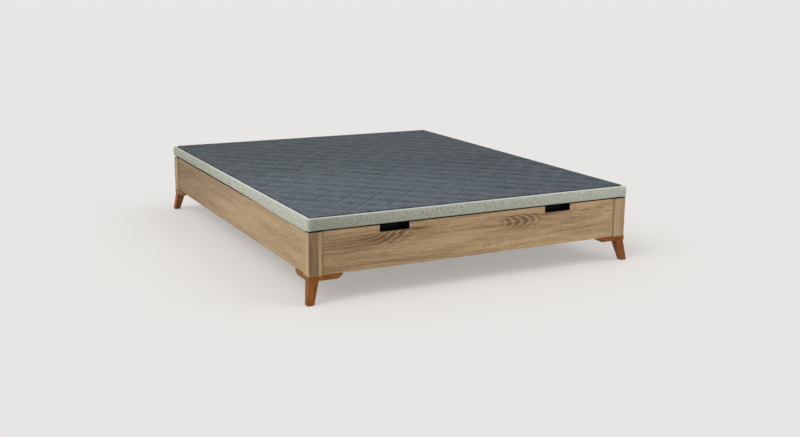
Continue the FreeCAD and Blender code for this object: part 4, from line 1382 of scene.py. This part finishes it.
@dataclass
class QuiltedPad:
    """One quilted pad of the lid: a sewn cover over a thin filling, closed underneath."""

    half: Half
    sheet: QuiltSheet
    cloth: bpy.types.Material
    rows: StitchRows
    row_margin: float = 0.020
    row_lift: float = 0.0006
    fill: float = 0.7

    def build(self) -> bpy.types.Object:
        """Make the pad from the cover, a skirt and a flat underside.

        Returns:
            The pad, riding on the lid.
        """
        node = self.half.pad
        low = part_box(node)[0]
        points, faces = self.sheet.build()
        mesh = new_mesh(node, points.tolist(), faces.tolist())
        work = open_mesh(mesh)
        rim = [edge for edge in work.edges if edge.is_boundary]
        skirt = bmesh.ops.extrude_edge_only(work, edges=rim)["geom"]
        for vertex in (item for item in skirt if isinstance(item, bmesh.types.BMVert)):
            vertex.co.z = low.z
        below = [edge for edge in work.edges if edge.is_boundary]
        bmesh.ops.holes_fill(work, edges=below, sides=0)
        close_mesh(work, mesh)
        pad = new_piece("quilted_pad_" + self.half.label, mesh, self.cloth)
        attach(pad, "lid")
        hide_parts(node)
        return pad

    def seam_rows(self) -> list[Run]:
        """Place the seams of both slants.

        Returns:
            The two ends of each seam, short of the pad's edges.
        """
        low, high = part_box(self.half.pad)
        left, right = low.x + self.row_margin, high.x - self.row_margin
        near, far = low.y + self.row_margin, high.y - self.row_margin
        z = high.z - self.sheet.seam_depth + self.row_lift
        rows = []
        for slant, shift in zip((1, -1), self.sheet.seam_shift):
            reaches = [x + slant * y - shift for x in (left, right) for y in (near, far)]
            first = math.ceil(min(reaches) / self.sheet.pitch)
            last = math.floor(max(reaches) / self.sheet.pitch)
            for number in range(first, last + 1):
                line = number * self.sheet.pitch + shift
                crossings = sorted((line - slant * near, line - slant * far))
                start, end = max(left, crossings[0]), min(right, crossings[1])
                if end - start > self.rows.step:
                    rows.append(tuple(Vector((x, slant * (line - x), z)) for x in (start, end)))
        return rows

    def sew(self) -> bpy.types.Object:
        """Stitch the seams.

        Returns:
            The stitches, riding on the lid.
        """
        stitches = self.rows.sew("quilt_stitches_" + self.half.label, self.seam_rows())
        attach(stitches, "lid")
        return stitches


@dataclass
class LidBand:
    """The padded tweed border of one lid half: a rolled top edge, a full face, and a turn-in below.

    A wave is its changes per metre in plan and in height, and its share of the ripple.
    """

    half: Half
    cloth: bpy.types.Material
    roll_width: float = 0.0185
    roll_rise: float = 0.0100
    roll_lift: float = 0.0024
    face_swell: float = 0.0012
    foot_round: float = 0.008
    lip_height: float = 0.016
    sag: float = 0.014
    sag_reach: Band = (-0.15, -0.65)
    lift: float = 0.010
    lift_reach: Band = (-0.35, 0.35)
    lip_start: float = 0.004
    lip_run: float = 0.030
    corner_droop: float = 0.008
    wall: float = 0.0037
    under: float = 0.0027
    turn: float = 0.022
    rear_turn: float = 0.009
    corner_round: float = 0.008
    least_round: float = 0.002
    seam_pinch: float = 0.0010
    seam_steps: float = 1.5
    ripple: float = 0.0005
    waves: tuple[Triple, ...] = ((9, 22, 1.0), (31, 40, 0.6))
    path_step: float = 0.012
    roll_steps: int = 10
    face_steps: int = 12
    foot_steps: int = 5
    corner_steps: int = 12
    fill: float = 0.85
    low: Vector = field(init=False)
    high: Vector = field(init=False)
    shelf: float = field(init=False)
    end: float = field(init=False)

    def __post_init__(self) -> None:
        """Read the places of the border and of the pad beside it."""
        self.low, self.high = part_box(self.half.band)
        self.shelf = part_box(self.half.pad)[0].z
        self.end = max(abs(self.low.y), abs(self.high.y))

    def profile(self) -> list[tuple[float, float, float, float]]:
        """The closed section of the border.

        Returns:
            For each point its inset from the side edge, its inset from the end edge, its height,
            and how much it follows ripples and seams.
        """
        low, crest = self.low, self.high.z + self.roll_lift
        points = []
        for step in range(self.roll_steps + 1):
            turn = math.pi * step / self.roll_steps
            inset = self.roll_width * (1 + math.cos(turn)) / 2
            height = crest - self.roll_rise + self.roll_rise * math.sin(turn)
            points.append((inset, inset, height, step / self.roll_steps))
        face_top, face_foot = crest - self.roll_rise, low.z + self.foot_round
        for step in range(1, self.face_steps):
            share = step / self.face_steps
            inset = -self.face_swell * math.sin(math.pi * share)
            points.append((inset, inset, face_top + (face_foot - face_top) * share, 1.0))
        for step in range(self.foot_steps + 1):
            turn = math.pi / 2 * step / self.foot_steps
            inset = self.foot_round * (1 - math.cos(turn))
            points.append((inset, inset, face_foot - self.foot_round * math.sin(turn), 1 - step / self.foot_steps))
        end_turn = self.rear_turn if self.half is Half.HEAD else self.turn
        inner = low.z + self.under
        return points + [
            (self.turn, end_turn, low.z, 0.0), (self.turn, end_turn, inner, 0.0), (self.wall, self.wall, inner, 0.0),
            (self.wall, self.wall, self.shelf, 0.0), (self.roll_width, self.roll_width, self.shelf, 0.0),
        ]

    def path(self, side_inset: float, end_inset: float) -> list[Triple]:
        """The line round three sides of the half, drawn in by an inset.

        Args:
            side_inset: Distance in from the long sides.
            end_inset: Distance in from the end.

        Returns:
            X and Y of the points from the split on the left to the split on the right, and for each
            how close it is to a corner seam, from 0 to 1.
        """
        sign = self.half.value
        split = self.low.y if self.half is Half.HEAD else self.high.y
        bend = max(self.corner_round - max(side_inset, end_inset), self.least_round)
        bend_x, bend_y = self.high.x - side_inset - bend, self.end - end_inset - bend
        side, side_end = bend_x + bend, sign * bend_y
        side_count = round((self.end - self.corner_round) / self.path_step)
        end_count = round(2 * (self.high.x - self.corner_round) / self.path_step)
        points = [(-side, split + (side_end - split) * step / side_count, 0.0) for step in range(side_count)]
        for corner, start in ((-1, math.pi), (1, math.pi / 2)):
            for step in range(self.corner_steps + 1):
                turn = start - math.pi / 2 * step / self.corner_steps
                x, y = corner * bend_x + bend * math.cos(turn), sign * (bend_y + bend * math.sin(turn))
                points.append((x, y, max(0.0, 1 - abs(step - self.corner_steps / 2) / self.seam_steps)))
            if corner < 0:
                xs = (-bend_x + 2 * bend_x * step / end_count for step in range(1, end_count))
                points += [(x, sign * (bend_y + bend), 0.0) for x in xs]
        steps = range(1, side_count + 1)
        return points + [(side, side_end + (split - side_end) * step / side_count, 0.0) for step in steps]

    def _outward(self, x: float, y: float) -> Vector:
        """The plan direction that points out of the side nearest to a place."""
        on_side = self.high.x - abs(x) < self.end - abs(y)
        return Vector((math.copysign(1, x), 0)) if on_side else Vector((0, self.half.value))

    def _hang(self, x: float, y: float) -> float:
        """Find how far the lower lip hangs down.

        Args:
            x: The place across the bed.
            y: The place along it.

        Returns:
            The drop: loose near the foot, drawn up near the head, level on the ends.
        """
        corner_gap = self.high.x - abs(x) + abs(y - min(self.low.y, -self.high.y))
        droop = self.corner_droop * max(0.0, 1 - corner_gap / self.lip_run)
        if not self._outward(x, y).x:
            return droop
        sag, lift = (clamped((y - start) / (end - start)) for start, end in (self.sag_reach, self.lift_reach))
        clear = clamped((self.end - abs(y) - self.lip_start) / self.lip_run)
        along = clear * (self.sag * sag - self.lift * lift)
        return max(droop, along) if droop else along

    def _ring(self, side_inset: float, end_inset: float, height: float, follow: float) -> list[Triple]:
        """Carry one point of the section along the path.

        Args:
            side_inset: Its distance in from the long sides.
            end_inset: Its distance in from the end.
            height: Its height.
            follow: How much it follows ripples and seams.

        Returns:
            The places along the path.
        """
        lip = follow * max(0.0, 1 - (height - self.low.z) / self.lip_height)
        ring = []
        for x, y, seam in self.path(side_inset, end_inset):
            wave = 0.0
            for plan, up, share in self.waves:
                wave += share * noise.noise(Vector((x * plan, y * plan, height * up)))
            pull = follow * (seam * self.seam_pinch + wave * self.ripple)
            out = Vector((x, y)).normalized() if seam > 0 else self._outward(x, y)
            ring.append((x - out.x * pull, y - out.y * pull, height - lip * self._hang(x, y)))
        return ring

    def build(self) -> bpy.types.Object:
        """Make the border by carrying its section along the path.

        Returns:
            The border, riding on the lid.
        """
        node = self.half.band
        rings = [self._ring(*point) for point in self.profile()]
        count, wide = len(rings), len(rings[0])
        faces = []
        for row in range(count):
            here, after = row * wide, (row + 1) % count * wide
            faces += [(here + step, here + step + 1, after + step + 1, after + step) for step in range(wide - 1)]
        faces.append([row * wide for row in range(count)])
        faces.append([row * wide + wide - 1 for row in reversed(range(count))])
        mesh = new_mesh(node, [point for ring in rings for point in ring], faces)
        close_mesh(open_mesh(mesh), mesh)
        band = new_piece("tweed_band_" + self.half.label, mesh, self.cloth)
        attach(band, "lid")
        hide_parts(node)
        return band


# Sealing strip, whose dark colour is painted shade for the gap under the lid

@dataclass
class SealAndShadeStrip:
    """A dark foam strip along the box's top outer edge, outside the buffers, that closes the gap under the lid; its
    dark colour is painted shade for that gap.
    """

    material: bpy.types.Material
    side_x: float = 0.7925
    end_y: float = -0.9925
    post_step: float = 0.006
    post_width: float = 0.0625
    rear_y: float = 0.965
    notch_x: float = 0.413
    notch_half: float = 0.071
    width: float = 0.0026
    height: float = 0.0052
    round_edge: float = 0.0008
    round_steps: int = 3

    def runs(self) -> list[Run]:
        """Place the strip along the front and both sides.

        Returns:
            The two ends of each straight run.
        """
        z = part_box("left_board")[1].z + self.height / 2
        corner_x, corner_y = self.side_x + self.post_step, self.end_y - self.post_step
        inner_x, inner_y = corner_x - self.post_width, corner_y + self.post_width
        near, far = self.notch_x - self.notch_half, self.notch_x + self.notch_half
        runs = [(Vector((-near, self.end_y, z)), Vector((near, self.end_y, z)))]
        for sign in (-1, 1):
            plan = (
                ((self.side_x, inner_y), (self.side_x, self.rear_y)),
                ((inner_x, corner_y), (corner_x, corner_y)),
                ((far, self.end_y), (inner_x, self.end_y)),
            )
            runs += [tuple(Vector((sign * x, y, z)) for x, y in run) for run in plan]
        return runs

    def build(self) -> bpy.types.Object:
        """Make the strip by carrying a rounded section along each run.

        Returns:
            The strip as one plain piece, riding on the base.
        """
        sizes = {"Width": self.width, "Height": self.height, "Round": self.round_edge}
        tree = Grower("seal and shade strip", *sizes)
        width, height, edge = (tree.given[size] for size in sizes)
        section = tree.node("GeometryNodeCurvePrimitiveQuadrilateral", {}, {"Width": width, "Height": height})
        section = tree.node("GeometryNodeFilletCurve", {"mode": "POLY"}, {
            "Curve": section, "Radius": edge, "Count": self.round_steps,
        })
        swept = tree.node("GeometryNodeCurveToMesh", {}, {
            "Curve": tree.curve, "Profile Curve": section, "Fill Caps": True,
        })
        strip = tree.grow("seal_and_shade_strip", swept, self.runs(), sizes, self.material)
        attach(strip, "base")
        return strip


# Stage

@dataclass
class Studio:
    """A pale floor without a horizon under soft light, with a little more of it from the left."""

    backdrop: Colour = srgb(231, 229, 227)
    white: Colour = (1.0, 1.0, 1.0, 1.0)
    speckle: Colour = srgb(225, 223, 221)
    speckle_scale: float = 30.0
    speckle_share: float = 0.02
    floor_size: float = 120.0
    floor_glow: float = 0.42
    sky: float = 0.60
    key_strength: float = 1.30
    key_way: Triple = (0.68, 0.12, -0.72)
    fill_strength: float = 0.52
    fill_way: Triple = (-0.62, 0.28, -0.73)
    lamp_angle: float = 40.0

    def build(self) -> None:
        """Make the world, the lamps and the floor."""
        bpy.context.scene.view_settings.view_transform = "Standard"
        self._world()
        self._lamp("soft key", self.key_strength, self.key_way)
        self._lamp("soft fill", self.fill_strength, self.fill_way)
        self._floor()
        LOG.info("studio ready")

    def _lamp(self, name: str, strength: float, way: Triple) -> None:
        """Hang a broad distant lamp.

        Args:
            name: The lamp's name.
            strength: How bright it is.
            way: The direction in which it shines.
        """
        lamp = bpy.data.lights.new(name, "SUN")
        lamp.energy = strength
        lamp.angle = math.radians(self.lamp_angle)
        add_object(name, lamp).rotation_euler = Vector(way).to_track_quat("-Z", "Y").to_euler()

    @staticmethod
    def _shown(graph: Graph) -> Signal:
        """1 for a ray that shows the backdrop: straight to the camera, by gloss or through glass."""
        rays = graph.node("ShaderNodeLightPath").outputs("Is Camera Ray", "Is Glossy Ray", "Is Transmission Ray")
        return graph.math("MINIMUM", rays[0] + rays[1] + rays[2], 1.0)

    def _world(self) -> None:
        """Light the scene with an even sky that shows as the backdrop's colour."""
        world = bpy.data.worlds.new("studio")
        world.use_nodes = True
        bpy.context.scene.world = world
        graph = Graph(world.node_tree)
        light = graph.node("ShaderNodeBackground", {}, {"Color": self.white, "Strength": self.sky})
        plain = graph.node("ShaderNodeBackground", {}, {"Color": self.backdrop, "Strength": 1.0})
        both = graph.node("ShaderNodeMixShader", {}, {0: self._shown(graph), 1: light, 2: plain})
        graph.node("ShaderNodeOutputWorld", {}, {"Surface": both})

    def _floor(self) -> None:
        """Lay a wide matt floor that takes the bed's shadow."""
        reach = self.floor_size / 2
        corners = [(-reach, -reach, 0), (reach, -reach, 0), (reach, reach, 0), (-reach, reach, 0)]
        mesh = new_mesh("floor", corners, [(0, 1, 2, 3)])
        surface = Surface("pale floor")
        speckles = surface.noise(surface.place, self.speckle_scale)
        colour = surface.blend(speckles * self.speckle_share, self.backdrop, self.speckle)
        matt = surface.node("ShaderNodeBsdfDiffuse", {}, {"Color": colour})
        plain = surface.node("ShaderNodeEmission", {}, {"Color": self.backdrop, "Strength": 1.0})
        glow = self._shown(surface) * self.floor_glow
        shown = surface.node("ShaderNodeMixShader", {}, {0: glow, 1: matt, 2: plain})
        surface.node("ShaderNodeOutputMaterial", {}, {"Surface": shown})
        mesh.materials.append(surface.material)
        floor = add_object("floor", mesh)


@dataclass
class PhotoCamera:
    """The camera fitted to the corners of the bed in the photograph."""

    place: Triple = (-2.2875, -4.7233, 1.2931)
    yaw: float = -29.28
    pitch: float = 11.949
    roll: float = 0.81
    focal_pixels: float = 1031.5
    centre_pixels: tuple[float, float] = (440.6, 198.0)
    frame_pixels: tuple[int, int] = (800, 437)
    sensor_width: float = 36.0

    def build(self) -> None:
        """Make the camera and look through it."""
        yaw, pitch, roll = (math.radians(angle) for angle in (self.yaw, self.pitch, self.roll))
        ahead = Vector((-math.sin(yaw) * math.cos(pitch), math.cos(yaw) * math.cos(pitch), -math.sin(pitch)))
        level = ahead.cross(Vector((0, 0, 1))).normalized()
        upright = level.cross(ahead)
        right = math.cos(roll) * level + math.sin(roll) * upright
        above = math.cos(roll) * upright - math.sin(roll) * level
        data = bpy.data.cameras.new("photo camera")
        data.sensor_fit = "HORIZONTAL"
        data.sensor_width = self.sensor_width
        wide, tall = self.frame_pixels
        data.lens = self.focal_pixels / wide * self.sensor_width
        data.shift_x = (wide / 2 - self.centre_pixels[0]) / wide
        data.shift_y = (self.centre_pixels[1] - tall / 2) / wide
        camera = add_object("photo camera", data)
        turn = Matrix((right, above, -ahead)).transposed().to_4x4()
        camera.matrix_world = Matrix.Translation(self.place) @ turn
        bpy.context.scene.camera = camera


def main() -> None:
    """Build the stage, dress the solids and make the soft pieces."""
    logging.basicConfig(level=logging.INFO, format="%(name)s: %(message)s")
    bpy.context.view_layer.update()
    PhotoCamera().build()
    Studio().build()
    DressedSolids().dress()
    tweed = Tweed("tweed").material()
    rows = StitchRows(Thread("quilt thread").material())
    sheets = (QuiltSheet(Half.FOOT, (0.0433, 0.0158)), QuiltSheet(Half.HEAD, (-0.006, 0.014)))
    foot, head = (QuiltCloth("quilt cloth " + sheet.half.label, sheet.pitch, sheet.seam_shift) for sheet in sheets)
    head = replace(head, lit_slope=((0.12, 0.26), (0.30, 0.55)), lit_depth=0.075, dull_slope=0.06, dull_fade=0.0,
                   dull_lines=1.40, glint_lines=0.0, right_shade=0.0, grain=1.05)
    for sheet, cloth in zip(sheets, (foot, head)):
        pad = QuiltedPad(sheet.half, sheet, cloth.material(), rows)
        pad.build()
        pad.sew()
        LidBand(sheet.half, tweed).build()
    # Dark foam, its colour standing in for the shade in the gap under the lid.
    SealAndShadeStrip(Moulding("sealing foam and gap shade", srgb(40, 36, 27), srgb(52, 48, 37), 0.85, 0.2).material()).build()


if __name__ == "__main__":
    main()
